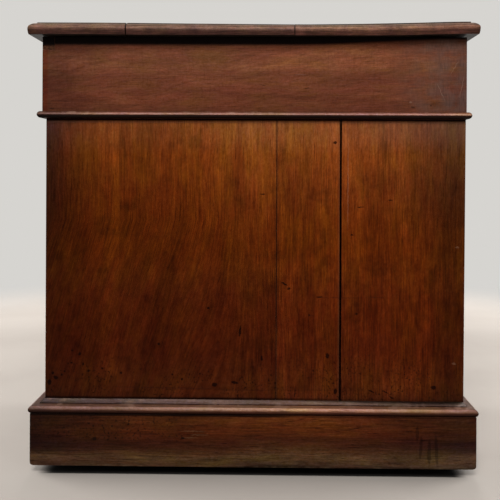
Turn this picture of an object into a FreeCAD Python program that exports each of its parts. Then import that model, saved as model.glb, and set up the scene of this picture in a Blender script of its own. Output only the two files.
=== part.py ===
import FreeCAD, Part
import math
import os

# Pedestal desk in mahogany: a top section with three frieze drawers stands on two pedestals,
# each with three graduated drawers and a plinth that hides four castors.
# X runs along the length, the drawers face -Y, and Z is up from the floor. Sizes are in millimetres.

# Whole desk
desk_length = 1371.0
desk_depth = 762.0
desk_height = 762.0

# Top: three boards side by side, with a thumb moulding on every outer edge
top_thickness = 20.0
top_overhang = 19.5
top_forward = 1.5
thumb_step = 1.6
thumb_reach = 13.0
thumb_height = 9.4
thumb_nose_radius = 7.0
thumb_undercut = 1.6
front_top_board = 165.5
middle_top_board = 286.0
open_top_joint = 1.2
leather_border = 84.0
leather_thickness = 1.5

# Frieze: the box of thin boards under the top
frieze_height = 139.0
frieze_reveal = 4.5
frieze_board = 20.0
partition_thickness = 20.0
top_rail_thickness = 22.0
bottom_rail_thickness = 15.0
rail_depth = 60.0
rail_tail_root = 15.0
rail_tail_end = 21.0
runner_width = 20.0
astragal_height = 11.5
astragal_reach = 7.6

# Pedestals
pedestal_width = 395.0
side_thickness = 20.0
back_thickness = 16.0
shelf_thickness = 16.0
front_side_board = 397.0
narrow_side_board = 108.5
open_side_joint = 1.4
tight_side_joint = 0.3
back_board_count = 3
back_joint = 0.3
bottom_board_reveal = 1.5
side_foot_gap = 16.0
drawer_height_shares = (0.311, 0.332, 0.357)

# Plinths
plinth_clearance = 14.0
plinth_height = 88.0
plinth_board = 19.4
plinth_moulding_height = 20.5
plinth_torus_radius = 6.2
plinth_moulding_reach = 22.2
plinth_bevel = 6.0
plinth_quirk = 1.0

# Drawers
drawer_front_thickness = 22.0
drawer_side_thickness = 10.0
drawer_back_thickness = 10.0
drawer_bottom_thickness = 7.0
drawer_bottom_lift = 8.0
drawer_groove = 5.0
drawer_back_drop = 6.0
drawer_back_inset = 8.0
drawer_housing = 3.0
drawer_back_space = 40.0
dovetail_lap = 6.0
dovetail_pin = 6.0
dovetail_pitch = 64.0
dovetail_slope_share = 0.16
cockbead_width = 3.0
cockbead_depth = 5.0
cockbead_proud = 1.5
stop_length = 35.0
stop_width = 20.0
stop_height = 5.0
stop_place_share = 0.25

# Turned knobs, two on each drawer
knob_reach = 27.0
knob_base_radius = 9.5
knob_neck_radius = 7.0
knob_rim_radius = 16.5
knob_face_radius = 11.0
knob_neck_share = 0.28
knob_rim_share = 0.66
knob_place_share = 0.23
knob_sides = 14

# Castors
castor_height = 62.0
wheel_radius = 19.0
wheel_width = 16.0
castor_trail = 18.0
castor_plate = 44.0
castor_plate_thickness = 3.0
fork_strap = 3.0
fork_front = 11.0
fork_back = 14.0
fork_shoulder = 12.0
fork_eye = 6.0
pintle_radius = 3.0
pintle_head_radius = 5.5
pintle_head = 2.5
pintle_head_sides = 6
axle_radius = 2.0
block_margin = 14.0
wheel_sides = 24

# Clearances
drawer_side_gap = 0.8
drawer_top_gap = 1.2
drawer_foot_gap = 0.8
drawer_side_top_gap = 3.0
swivel_clearance = 0.05
axle_clearance = 0.05
head_clearance = 0.3
wheel_side_gap = 1.0
castor_sweep_gap = 6.0

# Planes that the sizes above give
frieze_half_x = desk_length / 2 - top_overhang
frieze_half_y = desk_depth / 2 - top_overhang
pedestal_outer_x = frieze_half_x - frieze_reveal
pedestal_half_y = frieze_half_y - frieze_reveal
pedestal_inner_x = pedestal_outer_x - pedestal_width
pedestal_centre_x = (pedestal_outer_x + pedestal_inner_x) / 2
top_underside = desk_height - top_thickness
frieze_bottom = top_underside - frieze_height
plinth_top = plinth_clearance + plinth_height
plinth_moulding_top = plinth_top + plinth_moulding_height
opening_floor = plinth_moulding_top + bottom_board_reveal
opening_ceiling = frieze_bottom - shelf_thickness
side_foot = plinth_clearance + side_foot_gap
opening_half = pedestal_width / 2 - side_thickness
frieze_inner_x = frieze_half_x - frieze_board
frieze_back_face = frieze_half_y - frieze_board
pedestal_back_face = pedestal_half_y - back_thickness
partition_outer_x = pedestal_inner_x + partition_thickness
castor_sweep = math.hypot(castor_trail + wheel_radius, wheel_width / 2)
castor_inset = castor_sweep + castor_sweep_gap
plate_underside = castor_height - castor_plate_thickness

# The knobs of the frieze drawers reach past the top, so the middle of the desk's box lies off its middle
knob_front = frieze_half_y + knob_reach
box_middle_y = (desk_depth / 2 - top_forward - knob_front) / 2

X_AXIS = FreeCAD.Vector(1, 0, 0)
Y_AXIS = FreeCAD.Vector(0, 1, 0)
Z_AXIS = FreeCAD.Vector(0, 0, 1)
ORIGIN = FreeCAD.Vector(0, 0, 0)

nodes = {}


def add(name, *solids):
    """Put solids into the named sub-part."""
    nodes.setdefault(name, []).extend(solids)


def box(x_pair, y_pair, z_pair):
    """A board between two planes on each axis."""
    low = FreeCAD.Vector(min(x_pair), min(y_pair), min(z_pair))
    high = FreeCAD.Vector(max(x_pair), max(y_pair), max(z_pair))
    size = high - low
    return Part.makeBox(size.x, size.y, size.z, low)


class Outline:
    """A closed flat outline of lines and arcs, placed in space by a function of its two coordinates."""

    def __init__(self, place, start):
        self.place = place
        self.start = start
        self.here = start
        self.edges = []

    def line(self, *points):
        for point in points:
            self.edges.append(Part.makeLine(self.place(*self.here), self.place(*point)))
            self.here = point
        return self

    def arc(self, centre, radius, end):
        """A round stretch of under half a turn about a centre, the short way to its end."""
        start_angle = math.atan2(self.here[1] - centre[1], self.here[0] - centre[0])
        end_angle = math.atan2(end[1] - centre[1], end[0] - centre[0])
        turn = (end_angle - start_angle + math.pi) % (2 * math.pi) - math.pi
        middle_angle = start_angle + turn / 2
        middle = (centre[0] + radius * math.cos(middle_angle), centre[1] + radius * math.sin(middle_angle))
        curve = Part.Arc(self.place(*self.here), self.place(*middle), self.place(*end))
        self.edges.append(curve.toShape())
        self.here = end
        return self

    def face(self):
        if self.here != self.start:
            self.line(self.start)
        return Part.Face(Part.Wire(self.edges))


def flat_face(points):
    """A flat face with straight edges through the points."""
    return Part.Face(Part.makePolygon([*points, points[0]]))


def many_sided(rings, sides):
    """A turned form drawn with flat sides. Each ring is a placing function, a centre and a radius.

    The flat sides just hold a circle of that radius, and the rings run from one end to the other.
    """
    loops = []
    for place, centre, radius in rings:
        corner = radius / math.cos(math.pi / sides)
        angles = [(i + 0.5) * 2 * math.pi / sides for i in range(sides)]
        points = [(centre[0] + corner * math.cos(a), centre[1] + corner * math.sin(a)) for a in angles]
        loops.append([place(*point) for point in points])
    faces = [flat_face(loops[0]), flat_face(loops[-1])]
    for near, far in zip(loops, loops[1:]):
        for i in range(sides):
            faces.append(flat_face([near[i - 1], near[i], far[i], far[i - 1]]))
    solid = Part.Solid(Part.Shell(faces))
    if solid.Volume < 0:
        solid.reverse()
    return solid


def across_x(x):
    """Places an outline's (y, z) in the plane at x."""
    return lambda y, z: FreeCAD.Vector(x, y, z)


def across_y(y):
    """Places an outline's (x, z) in the plane at y."""
    return lambda x, z: FreeCAD.Vector(x, y, z)


def across_z(z):
    """Places an outline's (x, y) in the plane at z."""
    return lambda x, y: FreeCAD.Vector(x, y, z)


def mitred_ring(section, reach, half_x, half_y, centre_x):
    """Four lengths with one section round a rectangle, mitred where they meet.

    section takes a function that places its (out, z) and returns a face.
    """
    lengths = []
    for quarter, (along, away) in enumerate(((half_x, half_y), (half_y, half_x)) * 2):
        face = section(lambda out, z: FreeCAD.Vector(-along - reach, -away - out, z))
        bar = face.extrude(X_AXIS * 2 * (along + reach))
        level = bar.BoundBox
        plan = Outline(across_z(level.ZMin), (-along, -away))
        plan.line((along, -away), (along + reach, -away - reach), (-along - reach, -away - reach))
        bar = bar.common(plan.face().extrude(Z_AXIS * (level.ZMax - level.ZMin))).Solids[0]
        bar.rotate(ORIGIN, Z_AXIS, math.degrees(quarter * math.pi / 2))
        bar.translate(X_AXIS * centre_x)
        lengths.append(bar)
    return lengths


def thumb_section(place, half_width):
    """Section of the top from edge to edge: at both ends a small step, then a thumb of two arcs."""
    shoulder = desk_height - thumb_step
    nose = shoulder - thumb_height
    drop = nose - top_underside
    under_radius = (thumb_undercut ** 2 + drop ** 2) / (2 * thumb_undercut)
    foot = half_width - thumb_undercut
    crown = half_width - thumb_reach
    nose_centre = half_width - thumb_nose_radius
    spare = thumb_reach ** 2 + thumb_height ** 2 - 2 * thumb_reach * thumb_nose_radius
    back_radius = spare / (2 * (thumb_height - thumb_nose_radius))
    share = thumb_nose_radius / (back_radius - thumb_nose_radius)
    touch = (
        nose_centre + (nose_centre - crown) * share,
        nose + (back_radius - thumb_height) * share,
    )
    outline = Outline(place, (-foot, top_underside))
    outline.line((foot, top_underside))
    outline.arc((half_width - under_radius, nose), under_radius, (half_width, nose))
    outline.arc((nose_centre, nose), thumb_nose_radius, touch)
    outline.arc((crown, shoulder - back_radius), back_radius, (crown, shoulder))
    outline.line((crown, desk_height), (-crown, desk_height), (-crown, shoulder))
    outline.arc((-crown, shoulder - back_radius), back_radius, (-touch[0], touch[1]))
    outline.arc((-nose_centre, nose), thumb_nose_radius, (-half_width, nose))
    outline.arc((under_radius - half_width, nose), under_radius, (-foot, top_underside))
    return outline.face()


def build_top():
    """Three long boards cut from one moulded slab, let down for a panel of leather."""
    half_x = desk_length / 2
    half_y = desk_depth / 2
    slab = thumb_section(across_x(-half_x), half_y).extrude(X_AXIS * desk_length)
    slab = slab.common(thumb_section(across_y(-half_y), half_x).extrude(Y_AXIS * desk_depth))
    leather = box(
        (leather_border - half_x, half_x - leather_border),
        (leather_border - half_y, half_y - leather_border),
        (desk_height - leather_thickness, desk_height),
    )
    slab = slab.cut(leather)
    leather.translate(Y_AXIS * -top_forward)
    add("writing_leather", leather)
    first_joint = front_top_board - half_y
    second_joint = first_joint + middle_top_board
    boards = {
        "top_board_front": (-half_y, first_joint),
        "top_board_middle": (first_joint + open_top_joint, second_joint),
        "top_board_back": (second_joint, half_y),
    }
    for name, y_pair in boards.items():
        share = box((-half_x, half_x), y_pair, (top_underside, desk_height))
        board = slab.common(share).Solids[0]
        board.translate(Y_AXIS * -top_forward)
        add(name, board)


def astragal_section(place):
    """Half-round bead on a short flat, planted round the foot of the frieze."""
    radius = astragal_height / 2
    flat = astragal_reach - radius
    top = frieze_bottom + astragal_height
    middle = frieze_bottom + radius
    outline = Outline(place, (0, frieze_bottom)).line((flat, frieze_bottom))
    outline.arc((flat, middle), radius, (astragal_reach, middle))
    outline.arc((flat, middle), radius, (flat, top))
    outline.line((0, top))
    return outline.face()


def build_frieze():
    """Ends, back, front rails, partitions, runners and the bead round them."""
    front = -frieze_half_y
    rail_back = front + rail_depth
    opening_low = frieze_bottom + bottom_rail_thickness
    opening_high = top_underside - top_rail_thickness
    height = (frieze_bottom, top_underside)

    rail_z = (opening_high, top_underside)
    top_rail = box((-frieze_inner_x, frieze_inner_x), (front, rail_back), rail_z)
    for side in (-1, 1):
        plan = Outline(across_z(opening_high), (side * frieze_inner_x, front))
        plan.line((side * frieze_half_x, front), (side * frieze_half_x, front + rail_tail_end))
        plan.line((side * frieze_inner_x, front + rail_tail_root))
        tail = plan.face().extrude(Z_AXIS * top_rail_thickness)
        top_rail = top_rail.fuse(tail)
    top_rail = top_rail.removeSplitter().Solids[0]
    bottom_rail = box((-frieze_inner_x, frieze_inner_x), (front, rail_back), (frieze_bottom, opening_low))
    add("frieze_rails", top_rail, bottom_rail)

    for name, side in (("frieze_end_left", -1), ("frieze_end_right", 1)):
        board = box((side * frieze_inner_x, side * frieze_half_x), (front, frieze_half_y), height)
        add(name, board.cut(top_rail).Solids[0])
    add("frieze_back", box((-frieze_inner_x, frieze_inner_x), (frieze_back_face, frieze_half_y), height))

    for side in (-1, 1):
        low_x = min(side * pedestal_inner_x, side * partition_outer_x)
        outline = Outline(across_x(low_x), (front, opening_low))
        outline.line((front, opening_high), (rail_back, opening_high), (rail_back, top_underside))
        outline.line((frieze_back_face, top_underside), (frieze_back_face, frieze_bottom))
        outline.line((rail_back, frieze_bottom), (rail_back, opening_low))
        add("frieze_partitions", outline.face().extrude(X_AXIS * partition_thickness))

    for low_x, high_x in frieze_openings().values():
        for edge, inward in ((low_x, 1), (high_x, -1)):
            strip_x = (edge, edge + inward * runner_width)
            for z_pair in ((frieze_bottom, opening_low), (opening_high, top_underside)):
                add("frieze_runners", box(strip_x, (rail_back, frieze_back_face), z_pair))
        add("frieze_runners", *drawer_stops((low_x + high_x) / 2, high_x - low_x, front, opening_low))

    ring = mitred_ring(astragal_section, astragal_reach, frieze_half_x, frieze_half_y, 0)
    add("frieze_moulding", *ring)


def frieze_openings():
    """The three drawer openings of the frieze, as pairs of x."""
    return {
        "frieze_left": (-frieze_inner_x, -partition_outer_x),
        "frieze_centre": (-pedestal_inner_x, pedestal_inner_x),
        "frieze_right": (partition_outer_x, frieze_inner_x),
    }


def drawer_stops(centre_x, width, front, floor):
    """Two small blocks that stop the drawer front flush when it is pushed in."""
    stop_front = front + drawer_front_thickness
    stops = []
    for side in (-1, 1):
        middle = centre_x + side * width * stop_place_share
        x_pair = (middle - stop_length / 2, middle + stop_length / 2)
        stops.append(box(x_pair, (stop_front, stop_front + stop_width), (floor, floor + stop_height)))
    return stops


def pedestal_openings():
    """Floor and ceiling of the three drawer openings of a pedestal, from the top down."""
    clear = opening_ceiling - opening_floor - 2 * shelf_thickness
    levels = []
    ceiling = opening_ceiling
    for share in drawer_height_shares:
        floor = ceiling - clear * share
        levels.append((floor, ceiling))
        ceiling = floor - shelf_thickness
    return levels


def plinth_section(place):
    """Plain plinth board."""
    outline = Outline(place, (0, plinth_clearance)).line((plinth_board, plinth_clearance))
    outline.line((plinth_board, plinth_top), (0, plinth_top))
    return outline.face()


def plinth_moulding_section(place):
    """From the pedestal outwards: a bevel, a quirk, a weathered slope and a large torus."""
    centre = (plinth_moulding_reach - plinth_torus_radius, plinth_top + plinth_torus_radius)
    torus_top = plinth_top + 2 * plinth_torus_radius
    bevel_foot = plinth_moulding_top - plinth_bevel
    outline = Outline(place, (0, plinth_top)).line((centre[0], plinth_top))
    outline.arc(centre, plinth_torus_radius, (plinth_moulding_reach, centre[1]))
    outline.arc(centre, plinth_torus_radius, (centre[0], torus_top))
    outline.line((plinth_bevel, bevel_foot - plinth_quirk), (plinth_bevel, bevel_foot))
    outline.line((0, plinth_moulding_top))
    return outline.face()


def build_pedestal(word, side):
    """One pedestal with its plinth. side is -1 on the left and 1 on the right."""
    def at(out):
        """x of a plane that lies this far out from the pedestal's middle."""
        return side * (pedestal_centre_x + out)

    half = pedestal_width / 2
    front = -pedestal_half_y
    depth = (front, pedestal_half_y)
    side_z = (side_foot, frieze_bottom)
    inside_x = (at(-opening_half), at(opening_half))

    joint_one = front + front_side_board
    joint_two = joint_one + narrow_side_board
    for y_pair in (
        (front, joint_one),
        (joint_one + tight_side_joint, joint_two),
        (joint_two + open_side_joint, pedestal_half_y),
    ):
        add(word + "_outer_side", box((at(opening_half), at(half)), y_pair, side_z))
    add(word + "_inner_side", box((at(-half), at(-opening_half)), depth, side_z))

    board = (2 * opening_half + back_joint) / back_board_count - back_joint
    for i in range(back_board_count):
        edge = i * (board + back_joint) - opening_half
        x_pair = (at(edge), at(edge + board))
        add(word + "_pedestal_back", box(x_pair, (pedestal_back_face, pedestal_half_y), side_z))

    shelf_y = (front, pedestal_back_face)
    add(
        word + "_pedestal_shelves",
        box(inside_x, shelf_y, (opening_ceiling, frieze_bottom)),
        box(inside_x, shelf_y, (opening_floor - shelf_thickness, opening_floor)),
    )
    levels = pedestal_openings()
    rail_back = front + rail_depth
    for i, (floor, ceiling) in enumerate(levels):
        if i < len(levels) - 1:
            rail_z = (floor - shelf_thickness, floor)
            add(word + "_pedestal_shelves", box(inside_x, (front, rail_back), rail_z))
            for edge in (-1, 1):
                strip_x = (at(edge * opening_half), at(edge * (opening_half - runner_width)))
                strip = box(strip_x, (rail_back, pedestal_back_face), rail_z)
                add(word + "_drawer_runners", strip)
        stops = drawer_stops(side * pedestal_centre_x, 2 * opening_half, front, floor)
        add(word + "_drawer_runners", *stops)

    centre_x = side * pedestal_centre_x
    add(word + "_plinth", *mitred_ring(plinth_section, plinth_board, half, pedestal_half_y, centre_x))
    ring = mitred_ring(plinth_moulding_section, plinth_moulding_reach, half, pedestal_half_y, centre_x)
    add(word + "_plinth_moulding", *ring)
    block = castor_inset + castor_plate / 2 + block_margin
    block_z = (castor_height, opening_floor - shelf_thickness)
    for edge in (-1, 1):
        x_pair = (at(edge * opening_half), at(edge * (opening_half - block)))
        add(word + "_plinth", box(x_pair, (front, front + block), block_z))
        add(word + "_plinth", box(x_pair, (pedestal_back_face - block, pedestal_back_face), block_z))


def dovetails(low, high, shoulder, tip):
    """Outline points (y, z) of the tails on the end of a drawer side, from low to high."""
    count = max(2, round((high - low) / dovetail_pitch))
    pitch = (high - low) / count
    spread = abs(tip - shoulder) * dovetail_slope_share
    half_tip = (pitch - dovetail_pin) / 2
    points = []
    for i in range(count):
        middle = low + (i + 0.5) * pitch
        points += [(shoulder, middle - half_tip + spread), (tip, middle - half_tip)]
        points += [(tip, middle + half_tip), (shoulder, middle + half_tip - spread)]
    return points


def turned_knob(x, y, z):
    """A turned wooden knob that stands out to -Y from a point on the drawer front."""
    rings = (
        (0, knob_base_radius),
        (knob_reach * knob_neck_share, knob_neck_radius),
        (knob_reach * knob_rim_share, knob_rim_radius),
        (knob_reach, knob_face_radius),
    )
    return many_sided([(across_y(y - out), (x, z), radius) for out, radius in rings], knob_sides)


def build_drawer(word, x_pair, z_pair, front, back):
    """A drawer that fills an opening: lapped dovetails at the front, and the back housed in the sides."""
    centre_x = sum(x_pair) / 2
    width = max(x_pair) - min(x_pair)
    floor, ceiling = z_pair
    half = width / 2 - drawer_side_gap
    inside = half - drawer_side_thickness
    top = ceiling - drawer_side_top_gap
    shoulder = front + drawer_front_thickness
    panel_low = floor + drawer_bottom_lift
    panel_top = panel_low + drawer_bottom_thickness
    back_top = top - drawer_back_drop

    panel_half = inside + drawer_groove
    panel = box(
        (centre_x - panel_half, centre_x + panel_half),
        (shoulder - drawer_groove, back),
        (panel_low, panel_top),
    )

    back_half = inside + drawer_housing
    back_y = (back - drawer_back_inset - drawer_back_thickness, back - drawer_back_inset)
    back_board = box((centre_x - back_half, centre_x + back_half), back_y, (panel_top, back_top))
    tails = dovetails(floor, top, shoulder, front + dovetail_lap)
    sides = []
    for low_x in (centre_x - half, centre_x + inside):
        outline = Outline(across_x(low_x), (shoulder, floor)).line(*tails)
        outline.line((shoulder, top), (back, top), (back, floor))
        board = outline.face().extrude(X_AXIS * drawer_side_thickness)
        sides.append(board.cut([panel, back_board]).Solids[0])

    front_z = (floor + drawer_foot_gap, ceiling - drawer_top_gap)
    front_board = box((centre_x - half, centre_x + half), (front, shoulder), front_z)
    bead_y = (front - cockbead_proud, front + cockbead_depth)
    bead = box((centre_x - half, centre_x + half), bead_y, front_z)
    field_half = half - cockbead_width
    field_z = (front_z[0] + cockbead_width, front_z[1] - cockbead_width)
    bead = bead.cut(box((centre_x - field_half, centre_x + field_half), bead_y, field_z)).Solids[0]
    front_board = front_board.cut([*sides, panel, bead]).Solids[0]

    knob_x = width * knob_place_share
    knob_z = sum(front_z) / 2
    knobs = [turned_knob(centre_x + edge * knob_x, front, knob_z) for edge in (-1, 1)]
    add(word + "_drawer_front", front_board, bead, *knobs)
    add(word + "_drawer_box", *sides, back_board, panel)


def build_drawers():
    """Three drawers across the frieze and three down each pedestal."""
    frieze_z = (frieze_bottom + bottom_rail_thickness, top_underside - top_rail_thickness)
    for word, x_pair in frieze_openings().items():
        build_drawer(word, x_pair, frieze_z, -frieze_half_y, frieze_back_face - drawer_back_space)
    for word, side in (("left", -1), ("right", 1)):
        middle = side * pedestal_centre_x
        x_pair = (middle - opening_half, middle + opening_half)
        for level, z_pair in zip(("top", "middle", "bottom"), pedestal_openings()):
            back = pedestal_back_face - drawer_back_space
            build_drawer(word + "_" + level, x_pair, z_pair, -pedestal_half_y, back)


def build_castor(word, x, y):
    """A swivel castor: plate and pintle on the desk, then the fork with its axle, then the wheel."""
    half_plate = castor_plate / 2
    strap_low = plate_underside - fork_strap
    head_top = strap_low - head_clearance
    plate = box(
        (x - half_plate, x + half_plate), (y - half_plate, y + half_plate), (plate_underside, castor_height)
    )
    pintle = Part.makeCylinder(pintle_radius, plate_underside - head_top, FreeCAD.Vector(x, y, head_top))
    head_levels = (head_top - pintle_head, head_top)
    head_rings = [(across_z(z), (x, y), pintle_head_radius) for z in head_levels]
    head = many_sided(head_rings, pintle_head_sides)
    add("castor_plates", plate.fuse([pintle, head]).Solids[0])

    inner = wheel_width / 2 + wheel_side_gap
    outer = inner + fork_strap
    foot = wheel_radius - fork_eye
    bend = Outline(across_y(y - fork_front), (x - outer, foot)).line((x - inner, foot))
    bend.line((x - inner, strap_low), (x + inner, strap_low), (x + inner, foot), (x + outer, foot))
    bend.line((x + outer, plate_underside), (x - outer, plate_underside))
    axle_y = y + castor_trail
    length = fork_front + castor_trail + fork_eye
    arm = Outline(across_x(x - outer), (y - fork_front, plate_underside))
    arm.line((y - fork_front, plate_underside - fork_shoulder), (axle_y - fork_eye, foot))
    arm.line((axle_y + fork_eye, foot), (axle_y + fork_eye, wheel_radius + fork_eye))
    arm.line((y + fork_back, plate_underside))
    fork = bend.face().extrude(Y_AXIS * length).common(arm.face().extrude(X_AXIS * 2 * outer))
    hole_radius = pintle_radius + swivel_clearance
    hole = Part.makeCylinder(hole_radius, fork_strap, FreeCAD.Vector(x, y, strap_low))
    axle_low = FreeCAD.Vector(x - inner, axle_y, wheel_radius)
    axle = Part.makeCylinder(axle_radius, 2 * inner, axle_low, X_AXIS)
    add(word + "_fork", fork.cut(hole).Solids[0], axle)

    faces_x = (x - wheel_width / 2, x + wheel_width / 2)
    wheel_rings = [(across_x(plane), (axle_y, wheel_radius), wheel_radius) for plane in faces_x]
    wheel = many_sided(wheel_rings, wheel_sides)
    bore_low = FreeCAD.Vector(faces_x[0], axle_y, wheel_radius)
    bore = Part.makeCylinder(axle_radius + axle_clearance, wheel_width, bore_low, X_AXIS)
    add(word + "_wheel", wheel.cut(bore).Solids[0])


def build_castors():
    """Four castors inside each plinth."""
    outward = opening_half - castor_inset
    for word, side in (("left", -1), ("right", 1)):
        for row, y in (
            ("front", castor_inset - pedestal_half_y),
            ("back", pedestal_back_face - castor_inset),
        ):
            for place, edge in (("outer", 1), ("inner", -1)):
                x = side * (pedestal_centre_x + edge * outward)
                build_castor("_".join((word, row, place, "castor")), x, y)


def main():
    build_top()
    build_frieze()
    for word, side in (("left", -1), ("right", 1)):
        build_pedestal(word, side)
    build_drawers()
    build_castors()
    os.makedirs("parts", exist_ok=True)
    for name, solids in nodes.items():
        shape = Part.makeCompound(solids) if len(solids) > 1 else solids[0]
        shape.translate(Y_AXIS * -box_middle_y)
        shape.exportStep("parts/" + name + ".step")
    print(len(nodes), "sub-parts,", sum(len(solids) for solids in nodes.values()), "solids")


main()
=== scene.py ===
"""Dresses the mahogany pedestal desk: wood, leather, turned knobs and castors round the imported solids."""
import math

import bmesh
import bpy
from bpy.props import FloatProperty, FloatVectorProperty, PointerProperty
from mathutils import Matrix, Vector, noise


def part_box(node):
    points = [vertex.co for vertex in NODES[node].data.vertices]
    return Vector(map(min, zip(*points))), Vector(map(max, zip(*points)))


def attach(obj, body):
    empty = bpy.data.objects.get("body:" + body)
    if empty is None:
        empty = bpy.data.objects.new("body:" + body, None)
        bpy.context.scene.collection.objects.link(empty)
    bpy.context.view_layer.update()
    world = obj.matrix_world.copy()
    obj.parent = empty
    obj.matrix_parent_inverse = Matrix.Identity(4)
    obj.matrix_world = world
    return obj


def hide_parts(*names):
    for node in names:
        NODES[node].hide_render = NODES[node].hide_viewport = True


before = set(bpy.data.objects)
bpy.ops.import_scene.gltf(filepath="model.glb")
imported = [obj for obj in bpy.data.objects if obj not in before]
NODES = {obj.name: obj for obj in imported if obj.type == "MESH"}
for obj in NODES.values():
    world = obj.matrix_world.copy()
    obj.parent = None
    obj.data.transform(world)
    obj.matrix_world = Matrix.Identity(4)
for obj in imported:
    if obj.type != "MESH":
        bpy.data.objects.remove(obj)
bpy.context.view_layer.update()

bl_info = {
    "name": "Pedestal desk", "version": (1, 0, 0), "blender": (4, 5, 0),
    "location": "3D View > Sidebar > Desk",
    "description": "Finishes the pedestal desk: wood, leather top, knobs and castors, on a pale stage",
    "category": "Object",
}

MM = 0.001
SIDES = ("left", "right")
LEVELS = ("top", "middle", "bottom")
FRIEZE_DRAWERS = ("frieze_left", "frieze_centre", "frieze_right")
PEDESTAL_DRAWERS = tuple(side + "_" + level for side in SIDES for level in LEVELS)
CASTORS = tuple(
    "_".join((side, row, place, "castor"))
    for side in SIDES
    for row in ("front", "back")
    for place in ("outer", "inner")
)

# Places in the desk, in mm: the planes that the wood's patterns start from
DESK_MIDDLE_Y = 4.5
FRIEZE_HALF = (666.0, 361.5)
PEDESTAL_MIDDLE_X = 464.0
PEDESTAL_HALF = (197.5, 357.0)
FRIEZE_TOP_Z = 742.0
FRIEZE_DRAWER_MIDDLE_X = 466.25
TOP_THICKNESS = 20.0
TOP_OVERHANG = 19.5
UNDERSIDE_LAG = 2.2
TOP_JOINTS = (-211.9, 73.5)
CLOSED_JOINT, OPEN_JOINT = 44.5, 153.7
RAIL_ENDS_X = 665.0
FRONT_EDGE_PLANED = 1.2
# Half the widths of the drawers' linings, which turn the oak's grain at their corners
LINING_HALF = {"pedestal": 166.5, "frieze_side": 169.0, "frieze_centre": 255.5}
# How the top's boards have cupped: places along the depth in mm, and shares of the greatest lift
CUPPED = (
    (-380, 0.60), (-260, 0.57), (-120, 0.33), (0, 0.16), (90, 0.04), (180, 0.22), (270, 0.56),
    (345, 0.95), (385, 1.0),
)


def linear(code):
    """An sRGB hex colour as linear red, green, blue and alpha, which is what sockets take."""
    parts = [int(code[i : i + 2], 16) / 255 for i in (1, 3, 5)]
    return [c / 12.92 if c <= 0.04045 else ((c + 0.055) / 1.055) ** 2.4 for c in parts] + [1.0]


def put(tree, kind, inputs=(), stops=(), **settings):
    """Adds a node and gives its first output. An input is a value, or a socket that is linked to it."""
    made = tree.nodes.new(kind)
    for name, value in settings.items():
        setattr(made, name, value)
    for key, value in inputs.items() if isinstance(inputs, dict) else enumerate(inputs):
        if isinstance(value, bpy.types.NodeSocket):
            tree.links.new(value, made.inputs[key])
        elif value is not None:
            made.inputs[key].default_value = value
    for i, (place, code) in enumerate(stops):
        marks = made.color_ramp.elements
        mark = marks[i] if i < 2 else marks.new(place)
        mark.position = place
        mark.color = linear(code) if isinstance(code, str) else (*code, 1.0)
    return next((socket for socket in made.outputs if socket.enabled), None)


def fade(value, start, end, low=0.0, high=1.0):
    """Goes smoothly from low to high while value goes from start to end."""
    return put(
        value.id_data, "ShaderNodeMapRange", [value, start, end, low, high],
        interpolation_type="SMOOTHSTEP",
    )


def product(*masks):
    """All the masks multiplied together."""
    result = masks[0]
    for mask in masks[1:]:
        result = put(result.id_data, "ShaderNodeMath", [result, mask], operation="MULTIPLY")
    return result


def off(value, middle):
    """How far a value is from a middle, either way."""
    away = put(value.id_data, "ShaderNodeMath", [value, middle], operation="SUBTRACT")
    return put(value.id_data, "ShaderNodeMath", [away], operation="ABSOLUTE")


def tinted(tree, base, tint, amount, blend="MIX"):
    """Lays a tint over a colour by an amount from 0 to 1."""
    return put(tree, "ShaderNodeMix", {0: amount, 6: base, 7: tint}, data_type="RGBA", blend_type=blend)


def patches(place, width, length, detail=3.0, rough=0.55, distortion=0.0):
    """Noise in patches about that wide across the grain and that long along it, in mm."""
    tree = place.id_data
    stretched = put(
        tree, "ShaderNodeVectorMath", [place, (1 / width, 1 / width, 1 / length)], operation="MULTIPLY"
    )
    return put(
        tree, "ShaderNodeTexNoise",
        {
            "Vector": stretched, "Scale": 1.0, "Detail": detail, "Roughness": rough,
            "Distortion": distortion,
        },
    )


def by_place(value, stops):
    """A colour that follows a place in mm: stops are pairs of place and colour."""
    tree = value.id_data
    low, high = stops[0][0], stops[-1][0]
    share = put(tree, "ShaderNodeMapRange", [value, low, high])
    return put(
        tree, "ShaderNodeValToRGB", [share], stops=[((p - low) / (high - low), c) for p, c in stops]
    )


def new_group(name, inputs, outputs):
    """An empty node group with named sockets, and the node that holds what comes in."""
    tree = bpy.data.node_groups.new(name, "ShaderNodeTree")
    for socket, kind in inputs:
        tree.interface.new_socket(socket, in_out="INPUT", socket_type="NodeSocket" + kind)
    for socket, kind in outputs:
        tree.interface.new_socket(socket, in_out="OUTPUT", socket_type="NodeSocket" + kind)
    return tree, tree.nodes.new("NodeGroupInput").outputs


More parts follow.
